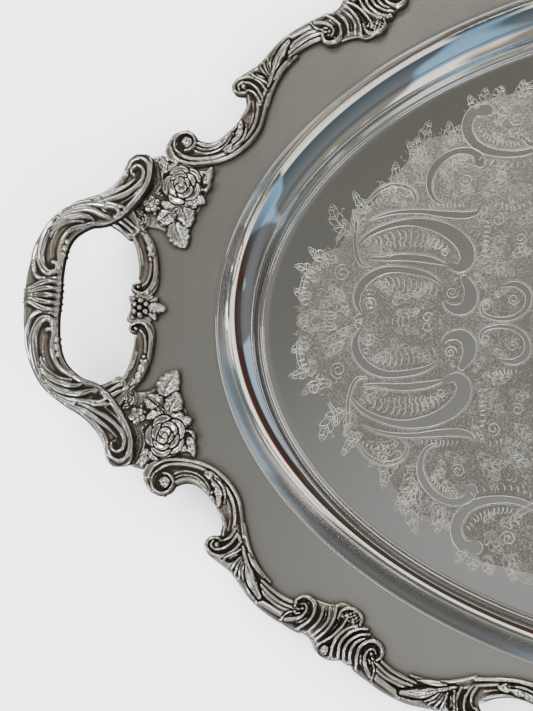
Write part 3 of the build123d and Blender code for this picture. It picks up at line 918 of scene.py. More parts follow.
def build_grip_relief():
    """The grip's chasing, unrolled: x along the grip from its middle, y across it, inwards positive."""
    r = Relief(-12, 106, -13, 13, 0.27)
    r.high[:] = 0.0
    band = dict(foot=0.0, cut=0.0)
    # C-scroll: a broad band that crosses to the opening's side and ends in a volute, with a hollow behind it
    r.stroke([(50, -5.8), (42, -6.0), (34, -5.6), (26, -4.8), (19, -3.2), (13.8, 0), (11.4, 4),
              (13.2, 7.6), (16.6, 7.6), (17, 5)],
             [1.0, 1.9, 2.5, 2.8, 2.9, 2.7, 2.3, 1.8, 1.4], [2.4, 3.0, 3.3, 3.4, 3.3, 3.2, 3.2,
                     3.0], "soft", carve=0.5, **band)
    r.stroke([(48, -8.4), (38, -9), (28, -9), (18, -7.6), (11, -4.6), (8.4, -0.5), (8.2, 4.5), (9.4, 9)],
             [0.9, 1.2, 1.4, 1.4, 1.2, 1.0], [1.9, 2.2, 2.4, 2.4, 2.2], **band)
    r.stroke([(21, 2.6), (27, 0.8), (34, 0.2), (41, 1.6)], [0.35, 0.5, 0.4], [0.9, 1.1, 0.8], **band)
    r.stroke([(18.6, 8.2), (25, 6.4), (32, 5.6), (40, 6.0), (48, 7.4), (56, 8.2)],
             [1.1, 1.3, 1.3, 1.1, 0.8], [2.2, 2.4, 2.4, 2.0], **band)
    for u, v, size in ((22.6, 8.9, 1.3), (26.8, 8.2, 1.5), (31, 7.8, 1.3)):
        r.dome((u, v), size, 2.5, ratio=1.2, **band)
    # long acanthus tongues on the arm, each with a groove
    for line, wide, high in (([(30, -1.6), (37, -0.6), (43, 1.8), (48, 5.6)], 1.6, 2.4),
                             ([(33, -3.2), (41, -1.4), (48, 1.6), (54, 6.4)], 2.1, 2.8),
                             ([(38, -4.6), (47, -3), (55, 0.6), (62, 7.2)], 2.3, 3.0),
                             ([(44, -6.6), (54, -4.8), (63, -0.8), (70, 6.4)], 2.7, 3.4)):
        r.stroke(line, [0.5, wide, wide * 1.1, 0.8], [high - 0.8, high, high, high - 1.0], "soft",
                 carve=0.5, **band)
        r.stroke([(u + 0.4, v - wide * 0.45) for u, v in line], [0.25, 0.45, 0.45, 0.2],
                 [high - 0.6, high + 0.35, high + 0.3, high - 1], **band)
    r.stroke([(63, 0.6), (66.4, 4.2), (66.8, 7.4), (64.6, 7.8)], [0.8, 1.0, 0.9], [2.6, 2.9, 2.4],
             carve=0.3, **band)
    # mouldings to the arm's volute, and the ridge that closes round its end
    r.stroke([(57, -4.8), (66, -2.6), (74, 0.6), (81, 3.4), (87, 4.8), (91.8, 3.4), (93.4, -0.4),
              (91.2, -3.2), (88.2, -2.6), (87.8, -0.4)],
             [0.8, 1.5, 1.8, 1.9, 1.8, 1.7, 1.5, 1.2, 0.9], [2.2, 2.8, 3.2, 3.4, 3.4,
                     3.2], "soft", carve=0.4, **band)
    r.stroke([(53, -7.8), (64, -6.2), (74, -4.0), (81, -1.2), (85.6, 0.8)], [0.9, 1.5, 1.5, 1.2, 0.6],
             [2.0, 2.7, 2.9, 2.4], carve=0.3, **band)
    r.stroke([(62, -8.8), (74, -7.4), (84, -6.6), (91, -6.8), (96, -4.6), (98.2, 0), (96.6, 4.6),
              (91.5, 7.0), (84, 7.6), (74, 7.4), (66, 9)],
             [0.9, 1.3, 1.4, 1.3, 1.3, 1.2, 1.1, 0.8], [1.8, 2.4, 2.8, 2.8, 2.6, 2.2], carve=0.2, **band)
    r.stroke([(70, 3.6), (78, 5.6), (85, 6.4)], [0.4, 0.6, 0.4], [1.6, 1.9, 1.6], **band)
    # the ribbed wrap over the middle, fanning out towards the opening
    for k, spread in enumerate((0.0, 1.0, 2.0)):
        line = [(1.5 * spread, -11), (1.9 * spread, -5), (2.9 * spread, 0), (3.5 * spread, 5),
                (3.3 * spread, 11)]
        for flip in ((1, -1) if k else (1,)):
            r.stroke([(flip * u, v) for u, v in line], [1.0, 1.3, 1.55, 1.5, 1.2],
                     [2.6, 3.1, 3.3, 3.0, 2.4], "soft", carve=0.3, **band)
    r.finish(0.7)
    r.oxide_and_shade = np.clip((blur(r.high, 1.3 / r.step) - r.high) * 0.9 + (0.7 - r.high) * 0.45, 0, 1)
    r.high = np.clip(r.high, -0.2, 4)
    return r


def sampled(r, field, x, y):
    """A field of a relief at any places, by linear mixing."""
    fx = np.clip((x - r.x[0]) / r.step, 0, len(r.x) - 1.001)
    fy = np.clip((y - r.y[0]) / r.step, 0, len(r.y) - 1.001)
    i, j = fx.astype(int), fy.astype(int)
    a, b = fx - i, fy - j
    return (field[j, i] * (1 - a) * (1 - b) + field[j, i + 1] * a * (1 - b)
            + field[j + 1, i] * (1 - a) * b + field[j + 1, i + 1] * a * b)


def grip_mesh(r, around=132):
    """The arched loop with its chasing raised on the top, the sides and, less, the underside."""
    half = smooth_path(GRIP, 0.42)
    other = half[:0:-1] * (1, -1, 1, 1, 1)
    path = np.vstack([other, half])
    steps = np.linalg.norm(np.diff(path[:, :3], axis=0), axis=1)
    run = np.concatenate([[0], np.cumsum(steps)])
    run -= run[len(other)]
    ahead = np.gradient(path[:, :3], axis=0)
    ahead /= np.linalg.norm(ahead, axis=1)[:, None]
    across = np.cross((0, 0, 1), ahead)
    across /= np.linalg.norm(across, axis=1)[:, None]
    up = np.cross(ahead, across)
    angle = np.linspace(0, 2 * math.pi, around, endpoint=False)
    c, s = np.cos(angle), np.sin(angle)
    wide = (path[:, 3] / 2 - CORE_IN)[:, None]
    thick = (path[:, 4] / 2 - CORE_UNDER)[:, None]
    normal_a, normal_u = c[None] / wide, s[None] / thick
    size = np.hypot(normal_a, normal_u)
    normal_a, normal_u = normal_a / size, normal_u / size
    v = -(wide + CORE_IN) * c[None]
    u = np.abs(run)[:, None] * np.ones_like(c)[None]
    high = sampled(r, r.high, u, v)
    high = high * np.where(s[None] < -0.25, 0.55, 1.0)
    dark = sampled(r, r.oxide_and_shade, u, v)
    edge = np.clip((np.abs(c) - 0.80) / 0.14, 0, 1)[None]
    high = np.maximum(high, 1.75 * np.sqrt(edge))
    dark = dark * (1 - 0.8 * edge)
    # painted shade: the grip's outermost sides are darkened
    dark = np.maximum(dark, np.clip((np.abs(c) - 0.945) / 0.03, 0, 0.8)[None])
    # painted shade: the grip's underside is darkened
    dark = np.maximum(dark, np.where(s[None] < -0.2, 0.45, 0))
    off_a = wide * c[None] + normal_a * high
    off_u = thick * s[None] + normal_u * high * 0.95
    taper = np.sqrt(1 - (1 - np.clip(r_end(run) / 6.0, 0, 1)) ** 2)
    off_a, off_u = off_a * taper[:, None], off_u * taper[:, None]
    centre = path[:, :3] + (0, 0, RIM_TOP)
    points = centre[:, None] + across[:, None] * off_a[..., None] + up[:, None] * off_u[..., None]
    points[..., 2] = np.clip(points[..., 2], RIM_TOP - 0.04, GRIP_TOP)
    points[..., 0] = np.maximum(points[..., 0], GRIP_OUT)
    n = len(path)
    faces = []
    for i in range(n - 1):
        a, b = i * around, (i + 1) * around
        faces += [[a + k, a + (k + 1) % around, b + (k + 1) % around, b + k] for k in range(around)]
    faces.append([k for k in range(around)][::-1])
    faces.append([(n - 1) * around + k for k in range(around)])
    return points.reshape(-1, 3), faces, dark.reshape(-1)


def r_end(run):
    """How far each place along the grip is from the nearer end."""
    return np.minimum(run - run[0], run[-1] - run) + 0.6


WEB_OUTLINE = [(-337.5, 46.6), (-331, 42.6), (-325, 39.6), (-319.8, 35.8), (-315.5, 38.5), (-315, 46),
               (-321, 54), (-333, 54)]


def build_web():
    """The moulding that rounds the corner of the opening below the arm, from the rail to the grip."""
    r = Relief(-344, -309, 28, 58, 0.27)
    r.plate(WEB_OUTLINE, 3.4)
    r.stroke([(-338, 47.4), (-331, 43.8), (-325, 40.9), (-320.6, 37.6)], [1.5, 1.6, 1.5, 1.3],
             [6.6, 6.2, 5.4, 4.8])
    r.stroke([(-336, 50.4), (-329, 46.6), (-323, 43.6), (-317.8, 40)], [1.4, 1.5, 1.5, 1.2],
             [7.4, 6.8, 6.0, 5.2], carve=0.3)
    r.stroke([(-330, 50.5), (-324, 47.4), (-318, 43.4)], [1.3, 1.5, 1.2], [7.4, 6.8, 5.6], carve=0.3)
    r.finish(0.6)
    points, faces, dark = contoured(r, foot=lambda x, y: FOOT)
    rise = np.interp(-points[:, 0], [314, 322.5, 330, 339], [0, 3, 7, 12])       # it climbs with the arm
    points = points + rise[:, None] * (0.357, 0, 1)
    return points, faces, dark


def place_grip(grip, web):
    front = mirrored(web[0], web[1], 1, -1)
    points, faces, dark = list(grip[0]), list(grip[1]), list(grip[2])
    for extra_points, extra_faces in ((web[0], web[1]), front):
        first = len(points)
        faces += [[first + k for k in f] for f in extra_faces]
        points += list(extra_points)
        dark += list(web[2])
    data = (np.array(points), faces, np.array(dark))
    for end, sx in (("left", 1), ("right", -1)):
        place(f"handle_grip_{end}", data, sx, sharp=60)


# ---------------------------------------------------------------- the sheet body

LIP_A, LIP_B = 270.0, 180.0                               # half-axes of the lip's oval
LIP_RADIUS = 2.2


def top_profile():
    """Inset from the lip's oval, and height, from the lip down the cove and its foot to the floor."""
    out = []
    for a in np.linspace(0, 55, 12):
        out.append((LIP_RADIUS * (math.sin(math.radians(a)) - 1),
                    RIM_TOP - LIP_RADIUS * (1 - math.cos(math.radians(a)))))
    start, slopes = np.array(out[-1]), np.radians(np.r_[np.linspace(56, 38, 27), 52, 58, 64, 70, 70, 70])
    lengths = np.r_[np.full(27, 0.78), np.full(6, 1.15)]
    steps = np.cumsum(np.column_stack([np.cos(slopes) * lengths, -np.sin(slopes) * lengths]), axis=0)
    out += (start + steps / steps[-1] * (16.3 - start[0], FLOOR_TOP + 1.7 - start[1])).tolist()
    out += [(16.7, FLOOR_TOP + 1.62), (17.3, FLOOR_TOP + 1.42), (17.8, FLOOR_TOP + 1.1),
            (18.1, FLOOR_TOP + 0.62),
            (18.4, FLOOR_TOP + 0.26), (18.9, FLOOR_TOP + 0.06), (19.6, FLOOR_TOP)]
    return out


def oval_reach(inset, angle):
    """Distance from the centre to the oval that lies inset inside the lip's."""
    a, b = LIP_A - inset, LIP_B - inset
    return a * b / np.hypot(b * np.cos(angle), a * np.sin(angle))


def body_mesh(tarnish, around=840):
    """Rings of the sheet's top from its edge to the floor's middle, then of its underside back."""
    angle = np.linspace(0, 2 * math.pi, around, endpoint=False)
    quarter = np.arcsin(np.clip(np.abs(np.sin(angle)), 0, 1))
    edge = edge_reach(quarter)
    profile = top_profile()
    rings = []                                    # reach, height, haze
    start = oval_reach(profile[0][0], angle)
    for t in [0, 0.02, 0.05, 0.08, 0.11, 0.14, 0.18, 0.22, 0.27, 0.33, 0.4, 0.5, 0.6, 0.7, 0.8, 0.9, 0.96,
              0.985]:
        rings.append((edge * (1 - t) + start * t, RIM_TOP, 1.0))
    for k, (inset, high) in enumerate(profile):
        haze = 0.6 if k == 0 else 0.0
        if k >= len(profile) - 2:
            haze = 0.3
        rings.append((oval_reach(inset, angle), high, haze))
    inner = oval_reach(profile[-1][0], angle)
    for t, worn in ((0.985, 0.3), (0.95, 0.25), (0.88, 0.3), (0.75, 0.6), (0.6, 1), (0.45, 1), (0.3, 1),
                    (0.15, 1), (0.05, 1)):
        rings.append((inner * t, FLOOR_TOP, worn))
    under = [(inner * t, 0.0, 1.0) for t in (0.05, 0.3, 0.6, 0.9)]
    for inset, high in profile[-8::-3]:
        under.append((oval_reach(inset - SHEET, angle), max(high - SHEET * 0.8, 0.0), 0.5))
    start_under = oval_reach(-SHEET - 0.6, angle)
    for t in (0, 0.3, 0.6, 0.9, 1):
        under.append((start_under * (1 - t) + (edge - 0.1) * t, RIM_UNDER, 1.0))
    c, s = np.cos(angle), np.sin(angle)
    points, haze, stain = [], [], []
    for part in (rings, under):
        for reach, high, value in part:
            x, y = reach * c, reach * s
            points.append(np.column_stack([x, y, np.full(around, high)]))
            haze.append(np.full(around, value))
            on_rim = part is rings and high > RIM_TOP - 0.1
            stain.append(tarnish(-np.abs(x), np.abs(y)) if on_rim else np.zeros(around))
    n_top, n_under = len(rings), len(under)
    faces = []

    def band(p, q, outwards):
        for k in range(around):
            m = (k + 1) % around
            quad = [p * around + k, q * around + k, q * around + m, p * around + m]
            faces.append(quad[::-1] if outwards else quad)

    for p in range(n_top - 1):
        band(p, p + 1, False)
    for p in range(n_top, n_top + n_under - 1):
        band(p, p + 1, False)
    band(n_top + n_under - 1, 0, False)
    centre_top, centre_under = (n_top + n_under) * around, (n_top + n_under) * around + 1
    for k in range(around):
        m = (k + 1) % around
        faces.append([(n_top - 1) * around + k, centre_top, (n_top - 1) * around + m])
        faces.append([n_top * around + m, centre_under, n_top * around + k])
    points = np.vstack(points + [np.array([[0, 0, FLOOR_TOP], [0, 0, 0.0]])])
    faces = [f[::-1] for f in faces]
    return points, faces, np.concatenate(haze + [[1.0, 1.0]]), np.concatenate(stain + [[0.0, 0.0]])


def place_body(reliefs):
    """The sheet, with tarnish on the rim close to the castings of these reliefs."""
    halos = []
    for r in reliefs:
        mask = (r.inside > 0).astype(float)
        halos.append((r, blur(mask, 3.4 / r.step), blur(mask, 1.2 / r.step)))

    def tarnish(x, y):
        out = np.zeros(x.shape)
        for r, wide, near in halos:
            value = sampled(r, wide, x, y) * 0.55 + sampled(r, near, x, y) * 0.75
            off = (x < r.x[0]) | (x > r.x[-1]) | (y < r.y[0]) | (y > r.y[-1])
            out = np.maximum(out, np.where(off, 0, value))
        return np.clip(out, 0, 1)

    points, faces, haze, stain = body_mesh(tarnish)
    body = make_object("tray_body_plate", points, faces, {"haze": haze, "tarnish": stain}, 35)
    dress(body, PLATE, "tray_body")


# ---------------------------------------------------------------- engraving of the floor

# Plain ribbons between two bright cuts: centre line and half-widths at even steps, left back quarter.
RIBBONS = [
    ([(-141.5, 84.5), (-143.5, 89.3), (-150.5, 91.2), (-158, 89), (-164, 83.5), (-167.2, 76),
      (-166.5, 68.5), (-162.5, 63.4), (-157.5, 62.8)],
     [2.6, 2.1, 1.6, 1.8, 2.0, 1.5, 0.9, 0.5]),
    ([(-138.5, 113), (-145, 112.4), (-148.3, 107), (-148.2, 101), (-144, 94.5), (-137, 90.6), (-128, 89),
      (-119, 89.5), (-110, 93), (-103, 98)],
     [3.2, 2.8, 2.6, 2.2, 1.8, 1.6, 1.4, 1.2]),
    ([(-205, 38.5), (-198, 46), (-187, 51), (-175, 52.8), (-163, 50.6), (-154, 46), (-148, 39.5),
      (-146.8, 32.5), (-151, 28.5), (-156.5, 30.6)],
     [0.4, 1.1, 1.4, 1.6, 2.4, 3.2, 3.8, 4.0, 3.4, 1.2]),
    ([(-198.5, 33.5), (-190, 33.4), (-178, 34.0), (-166, 32.6), (-157, 30)], [0.5, 1.4, 1.9, 1.8, 0.6]),
    ([(-148, 23), (-144.6, 16.5), (-145.2, 9.8), (-149.7, 6.6), (-155.2, 7.7), (-158.2, 11.5)],
     [1.8, 3.0, 3.6, 3.2, 2.0, 0.6]),
    ([(-199.5, 3.5), (-202.5, 9), (-202, 16), (-197, 23), (-188, 27.2), (-177, 27), (-166, 24.2),
      (-158.5, 19)],
     [0.5, 1.8, 2.3, 2.0, 1.6, 1.7, 1.2, 0.4]),
    ([(-128.5, 19.3), (-121.5, 19.8), (-116, 15.5), (-116.5, 8), (-122.5, 2.9), (-131, 2.0), (-138, 4.5),
      (-138.5, 9.5), (-135, 11.5), (-132.8, 8.5)],
     [0.6, 1.6, 1.8, 1.4, 1.3, 1.1, 0.9, 0.8, 0.6, 0.3]),
    ([(-199, 53.5), (-187, 57.6), (-173, 58.6), (-159, 57), (-148, 56.4), (-141.8, 58.2), (-140.8, 61.6)],
     [0.3, 0.8, 1.0, 1.2, 1.8, 1.9, 0.6]),
    ([(-200, 62.5), (-193.5, 70), (-185, 73), (-177, 70.6), (-174, 64.8), (-177.5, 60.6)],
     [0.3, 0.8, 1.0, 1.0, 0.8, 0.3]),
    ([(-207, 60), (-204.8, 52), (-205.2, 43), (-203.6, 34.5), (-200.6, 29.8), (-195.4, 29.4)],
     [0.3, 0.8, 0.8, 0.9, 0.8, 0.3]),
    ([(-228, 29), (-231.5, 22), (-232.6, 14), (-231, 8)], [0.3, 0.8, 0.9, 0.3]),
    ([(-215, 42.5), (-211.4, 48.5), (-210.6, 54)], [0.3, 0.8, 0.3]),
]
# Small spiral eyes of the scrolls: centre, outer radius, starting angle and turns.
EYES = [((-211, 25.6), 4.8, 60, 2.2), ((-195.8, 9.2), 3.9, 200, -2.2), ((-148.4, 75.6), 3.7, 180, 2.0),
        ((-154, 15.6), 3.4, 20, -2.0), ((-223, 35.4), 3.9, 300, -1.8), ((-136.2, 8.6), 2.6, 90, 1.6),
        ((-123.2, 108), 4.2, 120, 2.2), ((-123, 12.2), 3.0, 10, -2.0), ((-186, 70.6), 3.0, 250, -1.6),
        ((-129.8, 76.5), 3.4, 40, 2.0), ((-158, 36.4), 2.6, 0, 1.6), ((-131.6, 54), 3.6, 100, -1.8),
        ((-152.4, 22.2), 0.9, 0, 1), ((-166, 2.2), 3.0, 20, 1.4), ((-201, 1), 3.2, 70, 1.2),
        ((-120, 44), 3.2, 220, 1.8)]
# Acanthus leaves: base, tip, sideways bend, width and number of lobes.
LEAVES = [((-206, 46), (-217, 61.5), 2, 5, 4), ((-203, 46), (-200, 62.5), 1.5, 4.5, 4),
          ((-197, 58), (-206, 69), 1, 3, 3), ((-178, 62), (-191, 74), 2, 4, 4),
          ((-176, 66), (-184.5, 84), 2, 4.6, 4), ((-171, 72), (-179, 94.5), -2, 5, 5),
          ((-168, 82), (-174, 97.5), 1.5, 4.5, 4), ((-167, 84), (-167.5, 106), 2.5, 5, 5),
          ((-161, 91), (-158.6, 106), -1.5, 4, 4), ((-156, 93), (-152, 104), 1.2, 3.2, 3),
          ((-224, 20), (-235.6, 28.5), -2, 4, 4), ((-226, 14), (-235, 17), 1.5, 3.6, 3),
          ((-224, 6), (-233.4, 1.8), 1, 3.8, 3), ((-213, 33), (-228, 39), 2, 3.6, 4),
          ((-216, 20), (-222, 8), 2, 4, 4), ((-212, 18), (-206, 4.5), -2, 4, 4),
          ((-208, 12), (-217, 19), 1, 3, 3), ((-212, 3.4), (-224, 5), 1, 3, 3),
          ((-142, 115), (-147.5, 121), 1, 3, 3), ((-138, 116), (-139, 124.5), 1, 3.6, 3),
          ((-132, 116), (-130.5, 125), 1.2, 4, 4), ((-126, 116), (-121, 128), -1.4, 4.2, 4),
          ((-121, 114), (-112.5, 128), 1.6, 4, 4), ((-184, 36), (-198, 43), 2, 4, 4),
          ((-181, 12), (-193, 19), -1.5, 3.6, 4), ((-184, 8), (-172, 14), 2, 3.8, 4),
          ((-183, 5), (-171, 6.4), -1, 3, 3), ((-172, 12), (-164, 19), 1.5, 3.5, 4),
          ((-141, 30), (-129, 36), 2, 4, 4), ((-140, 40), (-128, 47), -2, 4.4, 4),
          ((-138, 26), (-124, 26), 2, 3.6, 4), ((-139, 66), (-125, 70), 2.4, 4.4, 5),
          ((-137, 72), (-131, 83), -1.5, 4, 4), ((-126, 62), (-114, 70), 2, 4.5, 4),
          ((-128, 100), (-118, 96), 1.5, 3.6, 4), ((-133, 104), (-126, 114), 1.5, 4, 4),
          ((-136, 100), (-131, 95), 1, 2.6, 3), ((-157, 70), (-161, 80), -1.5, 3.4, 4),
          ((-155, 66), (-145, 69), 1.4, 3, 3), ((-155, 80), (-148, 87), 1.2, 3.2, 4),
          ((-168, 42), (-160, 38.5), 1, 2.8, 3), ((-132, 13), (-125, 17), 1, 2.6, 3),
          ((-141, 52), (-136, 60), 1, 3, 3), ((-122, 52), (-114, 60), -1.4, 3.8, 4),
          ((-124, 34), (-115, 36), 1.4, 3.6, 4), ((-136, 18), (-141, 26), 1, 2.6, 3)]
# Rows of parallel bright cuts: the line they leave, how many, their length, lean and curl in degrees.
ROWS = [([(-195, 44.6), (-184, 48.6), (-173, 48.8), (-163, 45.6), (-155.5, 39.6)], 13, 9.5, -28, -62),
        ([(-198, 42), (-186, 39.4), (-174, 39), (-162, 37.6)], 14, 3.6, 60, 40),
        ([(-194, 21.6), (-184, 24), (-172, 22.6), (-160, 17)], 11, 9.0, -26, -58),
        ([(-228, 8), (-229.4, 16), (-226, 24), (-217, 30)], 10, 4.6, 62, 30),
        ([(-199, 20), (-197.6, 13), (-196, 6)], 6, 3.0, 50, 40),
        ([(-168, 60.5), (-158, 60), (-148, 60.4)], 9, 4.0, 45, 50),
        ([(-163, 79), (-160, 84), (-154, 87.6), (-147, 87.4)], 10, 4.2, -60, -60),
        ([(-144, 104), (-140, 97.6), (-133, 93.6), (-124, 92.4), (-115, 95)], 14, 4.6, 55, 50),
        ([(-161, 95), (-153, 95.6), (-149, 96.6)], 6, 4.2, 70, 20),
        ([(-140, 34), (-139, 44), (-138, 54)], 8, 4.2, -50, -50),
        ([(-134, 61), (-124, 58), (-114, 62)], 8, 4.2, 55, 50),
        ([(-142, 88), (-132, 85.4), (-121, 85), (-112, 88)], 10, 3.8, -55, -50),
        ([(-180, 62), (-190, 64), (-200, 60)], 8, 3.6, -60, -30),
        ([(-120, 24), (-128, 23.6), (-136, 27)], 8, 3.6, -60, -40),
        ([(-168, 9), (-176, 3.4), (-188, 1.4)], 8, 3.2, 40, 30)]
# How far the hatching of the ground reaches.
HATCHED = [(-236, -2), (-236, 12), (-235, 26), (-226, 38), (-214, 42), (-214, 52), (-214, 60), (-203, 64),
           (-196, 73), (-187, 82), (-181, 92), (-174, 98), (-169, 105), (-160, 105), (-153, 103),
           (-152, 112), (-146, 119), (-136, 124), (-126, 123), (-118, 128), (-100, 131), (-80, 134),
           (-40, 136), (0, 137), (0, -2)]


def sides_of(path, widths):
    """The two edges of a band of changing half-width about a path."""
    d = np.gradient(path, axis=0)
    d /= np.hypot(d[:, 0], d[:, 1])[:, None]
    across = np.column_stack([-d[:, 1], d[:, 0]])
    return path + across * np.asarray(widths)[:, None], path - across * np.asarray(widths)[:, None]


class Engraving:
    """Bright cuts on the floor as slim ridges of triangular section, and the plain shapes between them."""

    def __init__(self):
        self.cuts, self.slabs = [], []

    def cut(self, path, half=0.22, even=False):
        self.cuts.append((np.asarray(path, float), half, even))

    def ribbon(self, points, widths):
        path = smooth_path(points, 2.2)
        w = np.interp(np.linspace(0, 1, len(path)), np.linspace(0, 1, len(widths)), widths)
        left, right = sides_of(path, w)
        self.slabs.append((left, right))
        self.cut(left, 0.22, True)
        self.cut(right, 0.22, True)
        self.cut(sides_of(path, w + 0.8)[0], 0.12, True)
        if w[0] > 1.5:
            d = path[1] - path[0]
            a = math.atan2(-d[1], -d[0]) + np.linspace(-math.pi / 2, math.pi / 2, 9)
            cap = path[0] + w[0] * np.column_stack([np.cos(a), np.sin(a)])
            self.slabs.append((cap[:5], cap[:3:-1]))
            self.cut(cap, 0.22, True)

    def sweep(self, root, angle, length, curl, half=0.22):
        t = np.linspace(0, 1, 4)[:, None]
        a = np.radians(angle + curl * t)
        self.cut(np.array(root) + length * t * np.column_stack([np.cos(a), np.sin(a)]), half)

    def row(self, points, count, length, lean, curl):
        path = smooth_path(points, 0.8)
        for k in range(count):
            t = (k + 0.5) / count
            i = min(int(t * (len(path) - 1)), len(path) - 2)
            d = path[i + 1] - path[i]
            size = length * (0.55 + 0.45 * math.sin(math.pi * t))
            self.sweep(path[i], math.degrees(math.atan2(d[1], d[0])) + lean, size, curl, 0.25)
            self.sweep(path[i] + 0.45 * d / np.hypot(*d), math.degrees(math.atan2(d[1], d[0])) + lean,
                    size * 0.6, curl, 0.13)

    def leaf(self, base, tip, bend, width, lobes):
        """An acanthus leaf: a lobed bright edge, a curved midrib and strokes that curl out of it."""
        base, tip = np.array(base, float), np.array(tip, float)
        tip = base + 1.12 * (tip - base)
        way = (tip - base) / np.hypot(*(tip - base))
        across = np.array([-way[1], way[0]])
        t = np.linspace(0, 1, 6 * lobes + 1)
        rib = base + (tip - base) * t[:, None] + across * 1.4 * bend * np.sin(math.pi * t)[:, None]
        lobed = 0.72 + 0.38 * np.abs(np.sin(math.pi * lobes * t)) ** 0.7
        w = width * 0.74 * np.sin(math.pi * np.clip(t, 0.03, 0.98) ** 0.85) ** 0.75 * lobed
        left, right = sides_of(rib, w)
        self.cut(left, 0.13, True)
        self.cut(right, 0.13, True)
        self.cut(rib, 0.13)
        for k in range(lobes):
            i = 6 * k + 1
            d = rib[i + 1] - rib[i]
            heading = math.degrees(math.atan2(d[1], d[0]))
            for side in (1, -1):
                self.sweep(rib[i], heading + side * 12, w[i + 2] * 1.5, side * 42, 0.2)
                self.sweep(rib[i + 2], heading + side * 12, w[i + 3] * 1.05, side * 40, 0.12)

    def cut_mesh(self):
        points, faces, at = [], [], 0
        for path, half, even in self.cuts:
            n = len(path)
            t = np.linspace(0, 1, n)
            taper = np.clip(np.sin(math.pi * np.clip(t, 0.02, 0.98)) * (6 if even else 1.6), 0.12, 1)
            w = half * taper
            left, right = sides_of(path, w)
            floor = np.full(n, FLOOR_TOP - 0.03)
            for spot, high in ((left, floor), (right, floor), (path, FLOOR_TOP + 0.03 + 0.5 * w)):
                points.append(np.column_stack([spot, high]))
            for k in range(n - 1):
                a, b = at + k, at + k + 1
                faces += [[a + n, b + n, b + 2 * n, a + 2 * n], [b, a, a + 2 * n, b + 2 * n],
                        [a, b, b + n, a + n]]
            faces += [[at, at + n, at + 2 * n], [at + n - 1, at + 3 * n - 1, at + 2 * n - 1]]
            at += 3 * n
        return np.vstack(points), faces

    def slab_mesh(self):
        points, faces, at = [], [], 0
        for order, (left, right) in enumerate(self.slabs):
            n = len(left)
            top = 0.018 + 0.03 * (order * 0.618 % 1)     # no two shapes that cross are at one height
            for spot, high in ((left, top), (right, top), (left, -0.02), (right, -0.02)):
                points.append(np.column_stack([spot, np.full(n, FLOOR_TOP + high)]))
            for k in range(n - 1):
                a, b = at + k, at + k + 1
                faces += [[a, a + n, b + n, b], [a + 2 * n, b + 2 * n, b + 3 * n, a + 3 * n],
                          [a, b, b + 2 * n, a + 2 * n], [b + n, a + n, a + 3 * n, b + 3 * n]]
            for k, turn in ((at, 1), (at + n - 1, -1)):
                faces.append([k, k + 2 * n, k + 3 * n, k + n][::turn])
            at += 4 * n
        return np.vstack(points), faces


GROUND_EDGE = [(-233, -0.5), (-233, 12), (-231.5, 25), (-222, 36), (-213, 40), (-209, 50), (-207, 58),
               (-198, 62), (-192, 70), (-184, 79), (-176, 90), (-168, 98), (-158, 100), (-151, 101),
               (-149, 111), (-144, 116), (-134, 120), (-118, 123), (-100, 127), (-80, 130), (-40, 132),
               (-0.2, 133), (-0.2, -0.5)]


def ground_mesh():
    """The punched ground of the pattern, a very thin layer on the floor."""
    edge = smooth_path(GROUND_EDGE[:-1], 2.0).tolist() + [GROUND_EDGE[-1]]
    n = len(edge)
    points = [(x, max(y, 0.0), FLOOR_TOP + z) for z in (0.012, -0.02) for x, y in edge]
    faces = [list(range(n))[::-1], list(range(n, 2 * n))]
    faces += [[k, (k + 1) % n, n + (k + 1) % n, n + k] for k in range(n)]
    return points, faces


AXIS = -224                       # twice the x of the line about which the pattern repeats


def carried(points, axis=AXIS):
    """Points mirrored about the line at half of axis, where the pattern repeats towards the middle."""
    return np.array(points) * (-1, 1) + (axis, 0)


